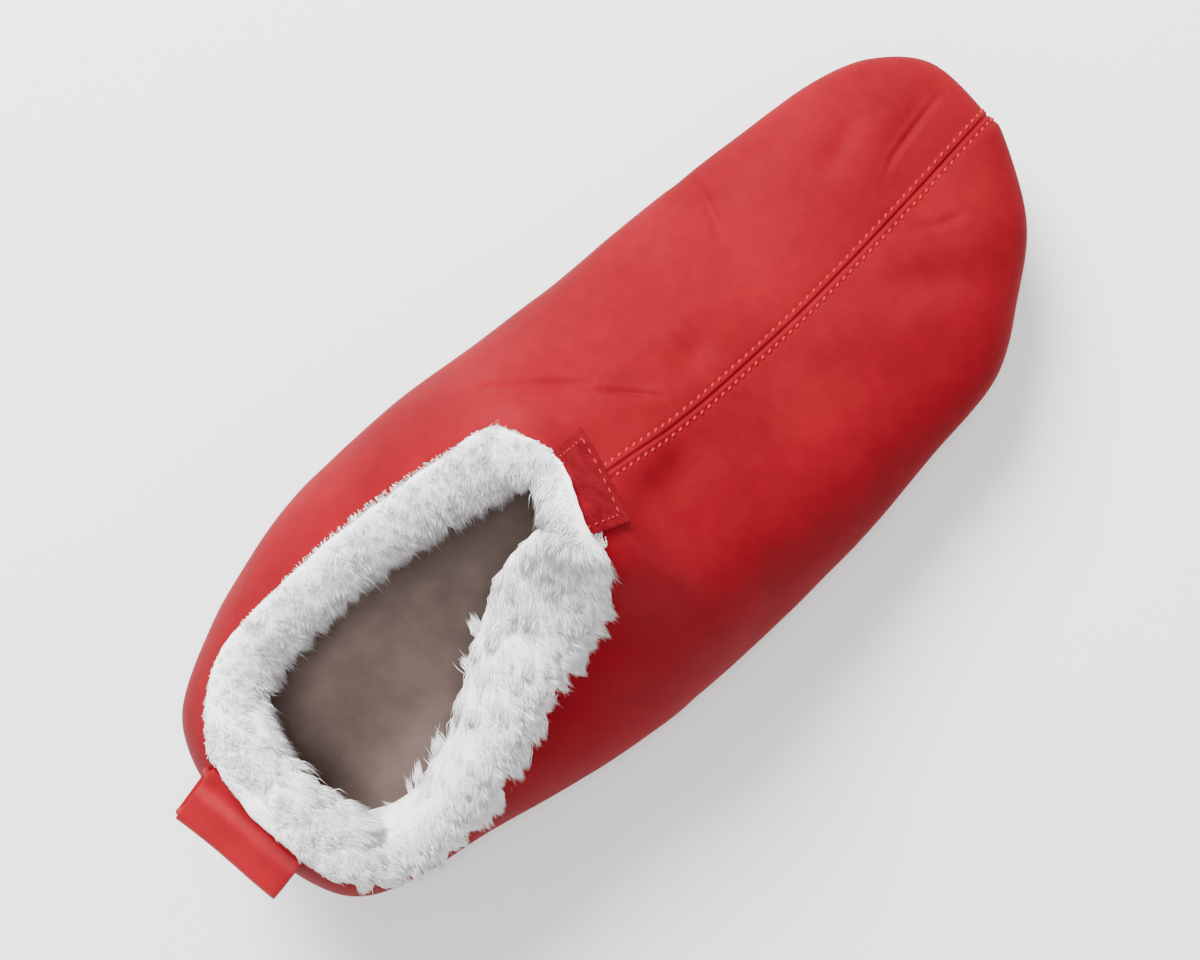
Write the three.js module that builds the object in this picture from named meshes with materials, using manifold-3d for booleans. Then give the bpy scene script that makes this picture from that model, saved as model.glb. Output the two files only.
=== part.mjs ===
// A soft slip-on slipper for the right foot: a red leather upper sewn from two halves down the
// middle of the vamp, a soft leather sole that cups up to its seam, a flat insole, a collar of
// white fleece, a suede tab over the throat and a folded leather pull loop at the heel.
// Millimetres. +Y runs to the toe, +X to the wearer's right, +Z up. The origin lies on the floor,
// half way along the leather body.

import * as THREE from 'three';
import { mergeVertices } from 'three/addons/utils/BufferGeometryUtils.js';
import Module from 'manifold-3d';

const wasm = await Module();
wasm.setup();

// Sizes of the leather body
const bodyLength = 272.5; // back of the heel to the tip of the toe
const bodyWidth = 111; // over both sides at the widest place
const throatHeight = 99; // floor to the highest point of the throat
const flankHeight = 30; // floor to the line where the upper bulges out most
const seamHeight = 24; // floor to the sole seam at the middle of the toe
const tuckDepth = 6; // how far the upper draws in from its widest line to the sole seam
const contactInset = 17; // widest line to the edge of the part of the sole that lies on the floor
const seamRoll = 0.8; // how far upper and sole roll inwards where they are sewn together
const upperWall = 2; // leather and backing of the upper
const soleWall = 2.6; // leather of the sole
const clearance = 0.3; // gap between two pieces that meet

// Centre seam of the vamp, an open groove between the two halves
const grooveWidth = 1.6;
const grooveDepth = 0.9;

// Mouth, the opening for the foot
const mouthLength = 117.5;
const mouthWidth = 70;
const collarLean = 11.5; // how far the collar leans in from the back of the heel

// Fleece round the mouth
const fleeceReach = 18; // furthest that the pile reaches in over the mouth
const fleeceSpill = 13; // furthest that the pile falls out over the leather
const fleecePile = 6; // thickness of the pile
const fleeceDepth = 9; // how far the fleece is sewn down inside the wall, below its edge
const lockLength = 9; // a lock of pile, from its root to its tip
const lockRadius = 2.6;
const lockWaver = 0.25; // share by which the locks differ in length

// Suede tab folded over the throat
const tabWidth = 25.5; // at its lower edge
const tabTopWidth = 20.5; // where it folds over the collar
const tabDrop = 8.2; // lower edge to the fold, seen from above
const tabSkew = 0.235; // how much its edges run back towards the outer side of the foot
const tabFoldSkew = 1.6; // how much more the fold does so on that side
const tabBehind = 3.2; // foremost point of the collar back to the middle of the fold
const tabMiddle = -1.6; // middle of the fold, right of the middle plane
const tabShift = 1.6; // how far the lower edge lies right of the fold
const tabWall = 1.4;

// Pull loop at the heel
const loopWidth = 32.5;
const loopReach = 12.5; // how far it stands out behind the collar
const loopHeight = 6; // over both layers at the fold
const loopWall = 1.3;
const loopSkew = 0.12; // turn about the vertical
const loopDroop = 0.5; // slope of the loop, down and away from the collar
const loopCentre = 1.8; // how far its middle lies to the right
const loopDrop = 12; // edge of the leather at the heel down to the middle of the loop's fold
const loopRoot = 6; // length of the loop that is trimmed away against the heel

// Insole
const insoleThickness = 4.5;

const heelBack = -bodyLength / 2;
const colours = { leather: 0xb92e36, sole: 0xa92831, suede: 0xb0222d, fleece: 0xe9e6e6, felt: 0x84766b };

// Cross sections from the back of the heel to the tip of the toe, a row each.
// at: place of the section's widest points, as a share of bodyLength
// ridgeAt: place where the section meets the top line of the upper, as a share of bodyLength
// left, right: distance of the widest points from the middle plane, as shares of bodyWidth
// widest: height of the widest points, as a share of flankHeight
// seam: height of the sole seam, as a share of seamHeight
// tuck: as a share of tuckDepth
// contact: as a share of contactInset
// fullness: 2 for an ellipse, less for a roof, more for a box
// ribs, soleRibs: how many sections are drawn from this row to the next, in upper and sole
const sectionColumns = [
  'at', 'ridgeAt', 'left', 'right', 'widest', 'seam', 'tuck', 'contact', 'fullness', 'ribs', 'soleRibs',
];
const sections = [
  [0, 0.132, 0, 0, 1, 0.67, 0.55, 0.85, 2.1, 2, 2],
  [0.004, 0.14, 0.18, 0.172, 1, 0.67, 0.55, 0.85, 2.1, 2, 2],
  [0.028, 0.157, 0.306, 0.302, 1, 0.66, 0.57, 0.87, 2.1, 2, 2],
  [0.085, 0.186, 0.393, 0.365, 1, 0.64, 0.62, 0.9, 2.05, 2, 2],
  [0.16, 0.228, 0.457, 0.405, 1, 0.6, 0.7, 0.95, 2, 2, 2],
  [0.26, 0.297, 0.501, 0.467, 1, 0.58, 0.8, 1.02, 2, 4, 2],
  [0.37, 0.38, 0.494, 0.512, 1, 0.58, 0.9, 1.06, 1.95, 7, 3],
  [0.49, 0.49, 0.458, 0.523, 0.98, 0.59, 0.96, 1.04, 1.85, 4, 2],
  [0.61, 0.603, 0.429, 0.521, 0.96, 0.6, 1, 1, 1.9, 3, 2],
  [0.72, 0.7, 0.411, 0.496, 0.94, 0.62, 1, 1, 2, 2, 2],
  [0.82, 0.78, 0.377, 0.462, 0.92, 0.63, 1, 1.06, 2.1, 3, 2],
  [0.9, 0.83, 0.346, 0.36, 0.91, 0.65, 0.95, 1.2, 2.15, 2, 2],
  [0.955, 0.862, 0.29, 0.241, 0.92, 0.73, 0.75, 1.32, 2.2, 2, 2],
  [0.9895, 0.882, 0.216, 0.108, 0.94, 0.9, 0.4, 1.36, 2.2, 2, 2],
  [0.9993, 0.895, 0.004, -0.004, 0.95, 1, 0.2, 1.36, 2.2, 0, 0],
];

// Top line of the upper from heel to toe. Behind the throat it is only the line that the sides
// of the collar lean towards.
// at: share of bodyLength; x: share of bodyWidth; z: share of throatHeight
// sides: the height that the sides of the section lean towards, as a share of throatHeight. It
// stays lower at the throat, which is pulled up in the middle alone.
const ridgeColumns = ['at', 'x', 'z', 'sides'];
const ridge = [
  [0.132, 0, 0.78, 0.78],
  [0.206, 0, 0.745, 0.745],
  [0.279, 0, 0.737, 0.737],
  [0.334, 0, 0.757, 0.757],
  [0.385, -0.004, 0.82, 0.8],
  [0.418, -0.008, 0.905, 0.83],
  [0.445, -0.01, 1, 0.845],
  [0.466, -0.008, 0.975, 0.84],
  [0.492, 0, 0.813, 0.8],
  [0.516, 0.008, 0.752, 0.752],
  [0.565, 0.024, 0.675, 0.675],
  [0.62, 0.032, 0.606, 0.606],
  [0.712, 0.034, 0.511, 0.511],
  [0.785, 0.029, 0.473, 0.473],
  [0.855, 0.02, 0.434, 0.434],
  [0.895, 0.0135, 0.404, 0.404],
];
const pulledUp = [0.2, 0.8]; // shares of a section's reach between which the throat's lift fades

// Edge of the leather round the mouth, seen from above, from the heel to the throat.
// at: share of mouthLength; left, right: shares of mouthWidth
// leftIn, rightIn: how far the pile reaches in, as shares of fleeceReach
// leftOut, rightOut: how far the pile falls out, as shares of fleeceSpill
const mouthColumns = ['at', 'left', 'right', 'leftIn', 'rightIn', 'leftOut', 'rightOut'];
const mouth = [
  [0, 0, 0, 0.75, 0.75, 0.14, 0.14],
  [0.017, 0.214, 0.28, 0.72, 0.78, 0.14, 0.2],
  [0.08, 0.393, 0.437, 0.6, 0.8, 0.14, 0.42],
  [0.18, 0.5, 0.497, 0.56, 0.74, 0.14, 0.46],
  [0.31, 0.518, 0.483, 0.54, 0.64, 0.14, 0.62],
  [0.465, 0.508, 0.407, 0.52, 0.64, 0.14, 0.72],
  [0.62, 0.48, 0.317, 0.54, 0.84, 0.14, 0.84],
  [0.775, 0.437, 0.243, 0.58, 1, 0.14, 0.92],
  [0.89, 0.398, 0.178, 0.64, 0.84, 0.14, 0.6],
  [0.945, 0.352, 0.108, 0.56, 0.5, 0.08, -0.05],
  [1, 0.143, -0.143, 0.45, 0.45, -0.05, -0.05],
];

const lerp = THREE.MathUtils.lerp;

// One cell of a table. Past an end of the table the count goes on down the other side of the
// foot, so that left and right run into each other smoothly.
function cell(table, columns, name, side, index) {
  const last = table.length - 1;
  const over = index < 0 || index > last;
  const row = index < 0 ? -index : index > last ? 2 * last - index : index;
  if (name === 'ridgeAt' && over) {
    const end = index < 0 ? 0 : last;
    return 2 * cell(table, columns, name, side, end) - table[row][columns.indexOf(name)];
  }
  if (!['side', 'In', 'Out'].includes(name)) return table[row][columns.indexOf(name)];
  const sideHere = over ? -side : side;
  const sideName = sideHere < 0 ? 'left' : 'right';
  if (name === 'side') return sideHere * table[row][columns.indexOf(sideName)];
  return table[row][columns.indexOf(sideName + name)];
}

// A smooth curve through the rows of one column, at place s counted in rows
function along(table, columns, name, side, s) {
  const i = Math.min(Math.floor(s), table.length - 2);
  const t = s - i;
  const [a, b, c, d] = [-1, 0, 1, 2].map((k) => cell(table, columns, name, side, i + k));
  return b + 0.5 * t * (c - a + t * (2 * a - 5 * b + 4 * c - d + t * (3 * (b - c) + d - a)));
}

// Height or sideways place of the top line at a share of the body's length. It never overshoots
// its rows, and its slope is worked out with it.
function ridgeLine(name, at) {
  const column = ridgeColumns.indexOf(name);
  const last = ridge.length - 1;
  const share = THREE.MathUtils.clamp(at, ridge[0][0], ridge[last][0]);
  let i = 0;
  while (i < last - 1 && share > ridge[i + 1][0]) i += 1;
  const rise = (k) => (ridge[k + 1][column] - ridge[k][column]) / (ridge[k + 1][0] - ridge[k][0]);
  const slopeAt = (k) => {
    if (k === 0) return rise(0);
    if (k === last) return rise(last - 1);
    const product = rise(k - 1) * rise(k);
    return product <= 0 ? 0 : (2 * product) / (rise(k - 1) + rise(k));
  };
  const span = ridge[i + 1][0] - ridge[i][0];
  const t = (share - ridge[i][0]) / span;
  const [y0, y1] = [ridge[i][column], ridge[i + 1][column]];
  const [m0, m1] = [slopeAt(i) * span, slopeAt(i + 1) * span];
  const value = y0 + t * (m0 + t * (3 * (y1 - y0) - 2 * m0 - m1 + t * (2 * (y0 - y1) + m0 + m1)));
  const slope = (m0 + t * (2 * (3 * (y1 - y0) - 2 * m0 - m1) + 3 * t * (2 * (y0 - y1) + m0 + m1))) / span;
  return { value, slope };
}

// One half section of the body, from the sole's middle up to the top line. Everything below is
// measured from it. inset moves the whole surface inwards.
function rib(side, s, inset) {
  const read = (name) => along(sections, sectionColumns, name, side, s);
  const ridgeAt = read('ridgeAt');
  const top = ridgeLine('z', ridgeAt);
  const steepness = Math.hypot(1, (top.slope * throatHeight) / bodyLength);
  const base = new THREE.Vector2(ridgeLine('x', ridgeAt).value * bodyWidth, heelBack + ridgeAt * bodyLength);
  const widestPoint = new THREE.Vector2(read('side') * bodyWidth, heelBack + read('at') * bodyLength);
  return {
    inset,
    base,
    outward: widestPoint.clone().sub(base),
    reach: widestPoint.distanceTo(base),
    top: top.value * throatHeight - inset * steepness,
    sides: ridgeLine('sides', ridgeAt).value * throatHeight - inset,
    widest: read('widest') * flankHeight,
    seam: read('seam') * seamHeight,
    tuck: read('tuck') * tuckDepth,
    contact: read('contact') * contactInset,
    fullness: read('fullness'),
  };
}

// A point of a half section, a distance in from its widest place and at a height
function ribPoint(half, distanceIn, z) {
  const share = 1 - distanceIn / half.reach;
  return new THREE.Vector3(half.base.x + half.outward.x * share, half.base.y + half.outward.y * share, z);
}

// Height of the roof where a share of the way out to the widest place is left
function roofHeight(half, share) {
  const rise = (1 - Math.min(share, 1) ** half.fullness) ** (1 / half.fullness);
  const top = lerp(half.top, half.sides, THREE.MathUtils.smoothstep(share, ...pulledUp));
  return half.widest + (top - half.widest) * rise;
}

// The four stretches of a half section. t runs from 0 to 1 upwards.
function roofPoint(half, t) {
  const share = Math.cos((t * Math.PI) / 2) ** (2 / half.fullness);
  if (t === 1) return new THREE.Vector3(half.base.x, half.base.y, half.top);
  return ribPoint(half, half.reach - (half.reach - half.inset) * share, roofHeight(half, share));
}

function flankPoint(half, t) {
  const down = 1 - t;
  const roll = seamRoll * THREE.MathUtils.smoothstep(down, 0.88, 1);
  const lowest = half.seam + clearance / 2;
  return ribPoint(half, half.inset + half.tuck * down ** 2 + roll, lerp(half.widest, lowest, down));
}

function turnPoint(half, t) {
  const angle = ((1 - t) * Math.PI) / 2;
  const roll = seamRoll * THREE.MathUtils.smoothstep(t, 0.85, 1);
  const from = half.inset + half.tuck;
  const to = half.inset * 0.6 + half.contact;
  const highest = half.seam - clearance / 2;
  return ribPoint(half, lerp(to, from, Math.cos(angle)) + roll, lerp(highest, half.inset, Math.sin(angle)));
}

function floorPoint(half, t) {
  return ribPoint(half, lerp(half.reach, half.inset * 0.6 + half.contact, t), half.inset);
}

// Steps of each stretch, and the heights at which its points lie
const roofSteps = 8;
const turnSteps = 5;
const flankHeights = [0, 0.12, 0.4, 0.7, 1];
const turnHeights = Array.from({ length: turnSteps + 1 }, (_, i) => i / turnSteps);
const roofHeights = Array.from({ length: roofSteps + 1 }, (_, i) => i / roofSteps);
const stretches = {
  floor: { point: floorPoint, heights: [0, 1] },
  turn: { point: turnPoint, heights: turnHeights },
  flank: { point: flankPoint, heights: flankHeights },
  roof: { point: roofPoint, heights: roofHeights },
};

// Places of the sections, counted in rows, from heel to toe
function ribPlaces(ribColumn) {
  const places = [];
  sections.slice(0, -1).forEach((row, i) => {
    const count = row[sectionColumns.indexOf(ribColumn)];
    for (let k = 0; k < count; k += 1) places.push(i + k / count);
  });
  return [...places, sections.length - 1];
}

// A ring of sections: up the left side of the foot from heel to toe and back down the right
function ringOfRibs(places, inset) {
  const left = places.map((s) => rib(-1, s, inset));
  const right = places.slice(1, -1).map((s) => rib(1, s, inset)).reverse();
  return [...left, ...right];
}

function pointsOf(half, names) {
  return names.flatMap((name, i) => {
    const heights = stretches[name].heights.slice(i === 0 || name === 'flank' ? 0 : 1);
    return heights.map((t) => stretches[name].point(half, t));
  });
}

// A closed geometry from a ring of columns of points. Each column's ends are joined to each
// other, or lie on a line that the columns of both sides share.
function geometryOf(columns, closeEnds) {
  const rows = columns[0].length;
  const positions = columns.flat().flatMap((p) => [p.x, p.y, p.z]);
  const index = [];
  const lastRow = closeEnds ? rows : rows - 1;
  columns.forEach((_, i) => {
    const j = (i + 1) % columns.length;
    for (let k = 0; k < lastRow; k += 1) {
      const m = (k + 1) % rows;
      const [a, b, c, d] = [i * rows + k, j * rows + k, j * rows + m, i * rows + m];
      index.push(a, c, b, a, d, c);
    }
  });
  const geometry = new THREE.BufferGeometry();
  geometry.setAttribute('position', new THREE.Float32BufferAttribute(positions, 3));
  geometry.setIndex(index);
  return geometry;
}

function solid(geometry) {
  const bare = geometry.clone();
  bare.deleteAttribute('normal');
  bare.deleteAttribute('uv');
  const merged = mergeVertices(bare, 1e-4);
  const corners = Array.from(merged.index.array);
  const kept = [];
  for (let i = 0; i < corners.length; i += 3) {
    const [a, b, c] = corners.slice(i, i + 3);
    if (a !== b && b !== c && a !== c) kept.push(a, b, c);
  }
  const mesh = new wasm.Mesh({
    numProp: 3,
    vertProperties: Float32Array.from(merged.attributes.position.array),
    triVerts: Uint32Array.from(kept),
  });
  return new wasm.Manifold(mesh);
}

// The whole body, closed, moved inwards by inset
function wholeBody(inset, ribColumn) {
  const names = ['floor', 'turn', 'flank', 'roof'];
  const columns = ringOfRibs(ribPlaces(ribColumn), inset).map((half) => pointsOf(half, names));
  return solid(geometryOf(columns, false));
}

// A wall between two insets. The upper's wall is open below and the sole's above.
function wall(outside, inside, name, ribColumn) {
  const names = name === 'upper' ? ['flank', 'roof'] : ['floor', 'turn'];
  const places = ribPlaces(ribColumn);
  const outer = ringOfRibs(places, outside).map((half) => pointsOf(half, names));
  const inner = ringOfRibs(places, inside).map((half) => pointsOf(half, names).reverse());
  const columns = outer.map((column, i) => (
    name === 'upper' ? [...inner[i], ...column] : [...column, ...inner[i]]
  ));
  return solid(geometryOf(columns, false));
}

const tall = 2 * throatHeight; // taller than anything that is cut

// An upright prism over an outline seen from above
function prism(outline, from, height) {
  const shape = new THREE.Shape(outline.map((p) => new THREE.Vector2(p.x, p.y)));
  const geometry = new THREE.ExtrudeGeometry(shape, { depth: height, bevelEnabled: false });
  geometry.translate(0, 0, from);
  return solid(geometry);
}

// The edge of the mouth at place s, with its direction out of the mouth
function mouthPoint(side, s) {
  const read = (name, place) => along(mouth, mouthColumns, name, side, place);
  const plan = (place) => new THREE.Vector2(
    read('side', place) * mouthWidth,
    heelBack + collarLean + read('at', place) * mouthLength,
  );
  const step = 0.01;
  const [before, after] = [Math.max(s - step, 0), Math.min(s + step, mouth.length - 1)];
  const tangent = plan(after).sub(plan(before));
  const atEnd = s === 0 || s === mouth.length - 1;
  const outward = atEnd
    ? new THREE.Vector2(0, s === 0 ? -1 : 1)
    : new THREE.Vector2(-tangent.y, tangent.x).multiplyScalar(-side).normalize();
  const reachIn = read('In', s) * fleeceReach;
  return { place: plan(s), outward, reachIn, spill: read('Out', s) * fleeceSpill };
}

const mouthSteps = 3; // points of the mouth's edge for each row of its table

function mouthRing(stepsPerRow) {
  const last = mouth.length - 1;
  const places = Array.from({ length: last * stepsPerRow + 1 }, (_, i) => i / stepsPerRow);
  const left = places.map((s) => mouthPoint(-1, s));
  const right = places.slice(1, -1).map((s) => mouthPoint(1, s)).reverse();
  return [...left, ...right];
}

function mouthPrism(outset) {
  const outline = mouthRing(mouthSteps)
    .map(({ place, outward }) => place.clone().addScaledVector(outward, outset));
  return prism(outline, flankHeight, tall);
}

// Height of the body's surface over a place seen from above, for the surface moved in by inset
function heightOver(x, y, inset) {
  const middleX = ridgeLine('x', (y - heelBack) / bodyLength).value * bodyWidth;
  const side = x < middleX ? -1 : 1;
  let [low, high] = [0, sections.length - 1];
  for (let i = 0; i < 40; i += 1) {
    const s = (low + high) / 2;
    const half = rib(side, s, inset);
    const away = new THREE.Vector2(x, y).sub(half.base);
    if (side * half.outward.cross(away) > 0) low = s;
    else high = s;
  }
  const half = rib(side, (low + high) / 2, inset);
  const share = new THREE.Vector2(x, y).distanceTo(half.base) / (half.reach - inset);
  return roofHeight(half, share);
}

const mouthGap = mouthPrism(-clearance);
// The upper's wall at the collar with room left round it, which neighbours are cut by
const collarRoom = wall(-clearance, upperWall + clearance, 'upper', 'ribs').subtract(mouthGap);

const throatRow = 6.7; // place of the throat in the section table, counted in rows
const grooveSteps = 28; // straight pieces of the groove along the vamp
const grooveClear = 2; // how far the cutting strip stands above the leather

// The groove down the middle of the vamp, from the tip of the toe up to the throat
function centreGroove() {
  const last = sections.length - 1;
  const upTheToe = pointsOf(rib(-1, last, 0), ['flank', 'roof']).slice(1, -3);
  const alongTheVamp = Array.from({ length: grooveSteps + 1 }, (_, i) => {
    const half = rib(-1, lerp(last, throatRow, i / grooveSteps), 0);
    return new THREE.Vector3(half.base.x, half.base.y, half.top);
  });
  const line = [...upTheToe, ...alongTheVamp];
  const columns = line.map((point, i) => {
    const before = line[Math.max(i - 1, 0)];
    const after = line[Math.min(i + 1, line.length - 1)];
    const forward = after.clone().sub(before).normalize();
    const across = new THREE.Vector3(0, 0, 1).cross(forward).normalize();
    const up = forward.clone().cross(across).normalize();
    const spot = (sideways, height) => (
      point.clone().addScaledVector(across, sideways).addScaledVector(up, height)
    );
    const outer = grooveWidth / 2;
    return [
      spot(outer, grooveClear),
      spot(-outer, grooveClear),
      spot(-outer, -grooveDepth / 3),
      spot(0, -grooveDepth),
      spot(outer, -grooveDepth / 3),
    ];
  });
  return tube(columns);
}

// A closed solid through a line of equal sections
function tube(rings) {
  const size = rings[0].length;
  const positions = rings.flat().flatMap((p) => [p.x, p.y, p.z]);
  const index = [];
  for (let i = 0; i < rings.length - 1; i += 1) {
    for (let k = 0; k < size; k += 1) {
      const m = (k + 1) % size;
      const [a, b, c, d] = [i * size + k, i * size + m, (i + 1) * size + m, (i + 1) * size + k];
      index.push(a, b, c, a, c, d);
    }
  }
  const end = (rings.length - 1) * size;
  for (let k = 1; k < size - 1; k += 1) {
    index.push(0, k + 1, k, end, end + k, end + k + 1);
  }
  const geometry = new THREE.BufferGeometry();
  geometry.setAttribute('position', new THREE.Float32BufferAttribute(positions, 3));
  geometry.setIndex(index);
  return solid(geometry);
}

function upper() {
  return wall(0, upperWall, 'upper', 'ribs').subtract(mouthPrism(0)).subtract(centreGroove());
}

function sole() {
  return wall(0, soleWall, 'sole', 'soleRibs');
}

function insole() {
  const floor = soleWall + clearance;
  const slab = new THREE.BoxGeometry(2 * bodyWidth, 2 * bodyLength, insoleThickness);
  slab.translate(0, 0, floor + insoleThickness / 2);
  return wholeBody(floor, 'soleRibs').intersect(solid(slab));
}

// The tab seen from above: its fold lies past the collar edge by reach, and grow widens it
function tabOutline(reach, grow) {
  const edgeY = mouthPoint(-1, mouth.length - 1).place.y - tabBehind;
  const foldY = edgeY - reach;
  const lowY = edgeY + tabDrop + grow;
  const half = tabTopWidth / 2 + grow;
  const lowHalf = tabWidth / 2 + grow;
  return [
    new THREE.Vector2(tabMiddle - half, foldY + tabSkew * half),
    new THREE.Vector2(tabMiddle + half, foldY - tabSkew * tabFoldSkew * half),
    new THREE.Vector2(tabMiddle + tabShift + lowHalf, lowY - tabSkew * lowHalf),
    new THREE.Vector2(tabMiddle + tabShift - lowHalf, lowY + tabSkew * lowHalf),
  ];
}

function tabZone(extra) {
  const reach = clearance + tabWall + extra;
  const layers = wall(-reach, upperWall + reach, 'upper', 'ribs');
  const past = mouthPrism(-reach);
  return layers.subtract(past).intersect(prism(tabOutline(reach, extra), flankHeight, tall));
}

function throatTab() {
  return tabZone(0).subtract(collarRoom);
}

// Section of the fleece on the inside of the collar, from its sewn foot up to its crown.
// reach: how far in over the mouth, as a share of the reach at that place
// drop: depth below the edge of the leather, as a share of fleecePile
const fleeceInside = [
  [0.45, 1.9],
  [0.92, 1.1],
  [1, 0.35],
  [0.7, -0.34],
  [0.3, -0.75],
];
// The same on the outside, where the pile lies on the leather.
// spill: how far out, as a share of the spill at that place
// thick: thickness of the pile, as a share of fleecePile
const fleeceOutside = [
  [0.45, 0.95],
  [0.9, 0.5],
];
const leastSpill = 0.3; // where the pile doesn't fall outwards it still covers the edge by this much
const lockSteps = 5; // places for locks for each row of that table

// The fleece before its locks: a band that holds the edge of the collar
function fleeceBand() {
  const columns = mouthRing(mouthSteps).map(({ place, outward, reachIn, spill }) => {
    const at = (offset) => place.clone().addScaledVector(outward, offset);
    const surface = (offset, inset) => heightOver(at(offset).x, at(offset).y, inset);
    const spot = (offset, z) => new THREE.Vector3(at(offset).x, at(offset).y, z);
    const edge = surface(0, 0);
    const out = Math.max(spill, leastSpill);
    let foot = 0;
    while (foot < fleeceDepth && edge - surface(foot, upperWall) < fleeceDepth) foot += fleeceDepth / 40;
    return [
      spot(foot, surface(foot, upperWall / 2)),
      spot(foot * 0.8, surface(foot, upperWall) - fleecePile / 2),
      ...fleeceInside.map(([reach, drop]) => spot(-reachIn * reach, edge - fleecePile * drop)),
      ...fleeceOutside.map(([share, thick]) => (
        spot(spill * share, (spill > 0 ? surface(spill * share, 0) : edge) + fleecePile * thick)
      )),
      spot(out, surface(out, upperWall / 2)),
    ].reverse();
  });
  return solid(geometryOf(columns, true));
}

// A lock of pile: a bent, tapered spike of four sides.
// along: share of its length; width: share of its radius at that place
const lockTaper = [
  [0, 1],
  [0.5, 0.75],
  [1, 0.16],
];
const lockCorners = [[1, 0], [0, 0.7], [-1, 0], [0, -0.7]];
const lockBend = 0.18; // how far a lock's tip drops, as a share of its length

function lock(root, direction, length) {
  const across = new THREE.Vector3(0, 0, 1).cross(direction).normalize();
  const up = direction.clone().cross(across).normalize();
  const rings = lockTaper.map(([share, width]) => {
    const centre = root.clone().addScaledVector(direction, share * length);
    centre.z -= share * share * length * lockBend;
    return lockCorners.map(([sideways, height]) => centre.clone()
      .addScaledVector(across, sideways * lockRadius * width)
      .addScaledVector(up, height * lockRadius * width));
  });
  return tube(rings);
}

// Locks of pile fused to the band. They all lean to the wearer's right, so those of the left side
// lie in over the mouth and those of the right side out over the leather.
function fleeceCollar() {
  let fleece = fleeceBand();
  mouthRing(lockSteps).forEach(({ place, outward, reachIn, spill }, i) => {
    const outside = outward.x > 0.25 && spill > fleeceSpill / 4;
    if (i % (outside ? 2 : 3)) return;
    const rootPlace = place.clone().addScaledVector(outward, outside ? spill * 0.6 : -reachIn * 0.72);
    const lean = new THREE.Vector2(1, -0.2 + 0.35 * Math.sin(i * 1.7)).normalize();
    const ahead = rootPlace.clone().addScaledVector(lean, lockLength);
    const surface = heightOver(rootPlace.x, rootPlace.y, 0);
    const fall = outside ? heightOver(ahead.x, ahead.y, 0) - surface : -lockLength * 0.3;
    const direction = new THREE.Vector3(lean.x, lean.y, fall / lockLength).normalize();
    const inside = heightOver(place.x, place.y, 0) - fleecePile * (i % 4 ? 0.1 : 0.45);
    const root = new THREE.Vector3(rootPlace.x, rootPlace.y, outside ? surface + fleecePile * 0.42 : inside);
    fleece = fleece.add(lock(root, direction, lockLength * (1 + lockWaver * Math.sin(i * 2.4))));
  });
  const cut = fleece.subtract(collarRoom).subtract(tabZone(clearance));
  return cut.decompose().sort((a, b) => b.volume() - a.volume())[0];
}

// The pull loop: a strip folded double, its fold away from the heel
function heelLoop() {
  const outer = loopHeight / 2;
  const inner = outer - loopWall;
  const root = -loopReach - loopRoot;
  const profile = new THREE.Shape();
  profile.moveTo(root, outer);
  profile.lineTo(-outer, outer);
  profile.absarc(-outer, 0, outer, Math.PI / 2, -Math.PI / 2, true);
  profile.lineTo(root, -outer);
  profile.lineTo(root, -inner);
  profile.lineTo(-outer, -inner);
  profile.absarc(-outer, 0, inner, -Math.PI / 2, Math.PI / 2, false);
  profile.lineTo(root, inner);
  const options = { depth: loopWidth, bevelEnabled: false, curveSegments: 6 };
  const geometry = new THREE.ExtrudeGeometry(profile, options);
  geometry.translate(0, 0, -loopWidth / 2);
  geometry.rotateX(Math.PI / 2);
  geometry.rotateZ(-Math.PI / 2);
  geometry.rotateX(Math.atan(loopDroop));
  geometry.rotateZ(loopSkew);
  const backOfCollar = heelBack + collarLean;
  const foldY = backOfCollar - loopReach - loopWall * 3;
  geometry.translate(loopCentre, foldY, heightOver(0, backOfCollar, 0) - loopDrop);
  const pileAtHeel = mouthPoint(-1, 0).spill + 2 * clearance;
  return solid(geometry).subtract(wholeBody(-clearance, 'ribs')).subtract(mouthPrism(pileAtHeel));
}

const pieces = [
  ['upper', upper(), colours.leather, 0.55],
  ['sole', sole(), colours.sole, 0.6],
  ['insole', insole(), colours.felt, 0.95],
  ['fleece_collar', fleeceCollar(), colours.fleece, 1],
  ['throat_tab', throatTab(), colours.suede, 0.9],
  ['heel_loop', heelLoop(), colours.leather, 0.5],
];

const slipper = new THREE.Group();
slipper.name = 'slipper';
for (const [name, made, color, roughness] of pieces) {
  const mesh = made.getMesh();
  const geometry = new THREE.BufferGeometry();
  geometry.setAttribute('position', new THREE.BufferAttribute(Float32Array.from(mesh.vertProperties), 3));
  geometry.setIndex(new THREE.BufferAttribute(Uint32Array.from(mesh.triVerts), 1));
  geometry.computeVertexNormals();
  const piece = new THREE.Mesh(geometry, new THREE.MeshStandardMaterial({ color, roughness, metalness: 0 }));
  piece.name = name;
  slipper.add(piece);
}

export default slipper;
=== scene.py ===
# %% [markdown]
# # A fleece-lined leather slipper
# The slipper is soft: two halves of red leather sewn down the vamp, a thin leather sole that cups
# up to meet them, a collar of white fleece, a suede tab at the throat and a pull loop at the heel.
# The solids of the frame give the sizes. This file dresses them: every shell is drawn again with
# a finer grid from the same sections, and then gets its creases, stitches, nap and wool.

# %% Tools, and the frame that everything is fitted to
import math

import bmesh
import bpy
import numpy as np
from mathutils import Matrix, Vector, noise
from mathutils.bvhtree import BVHTree
from mathutils.kdtree import KDTree


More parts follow.
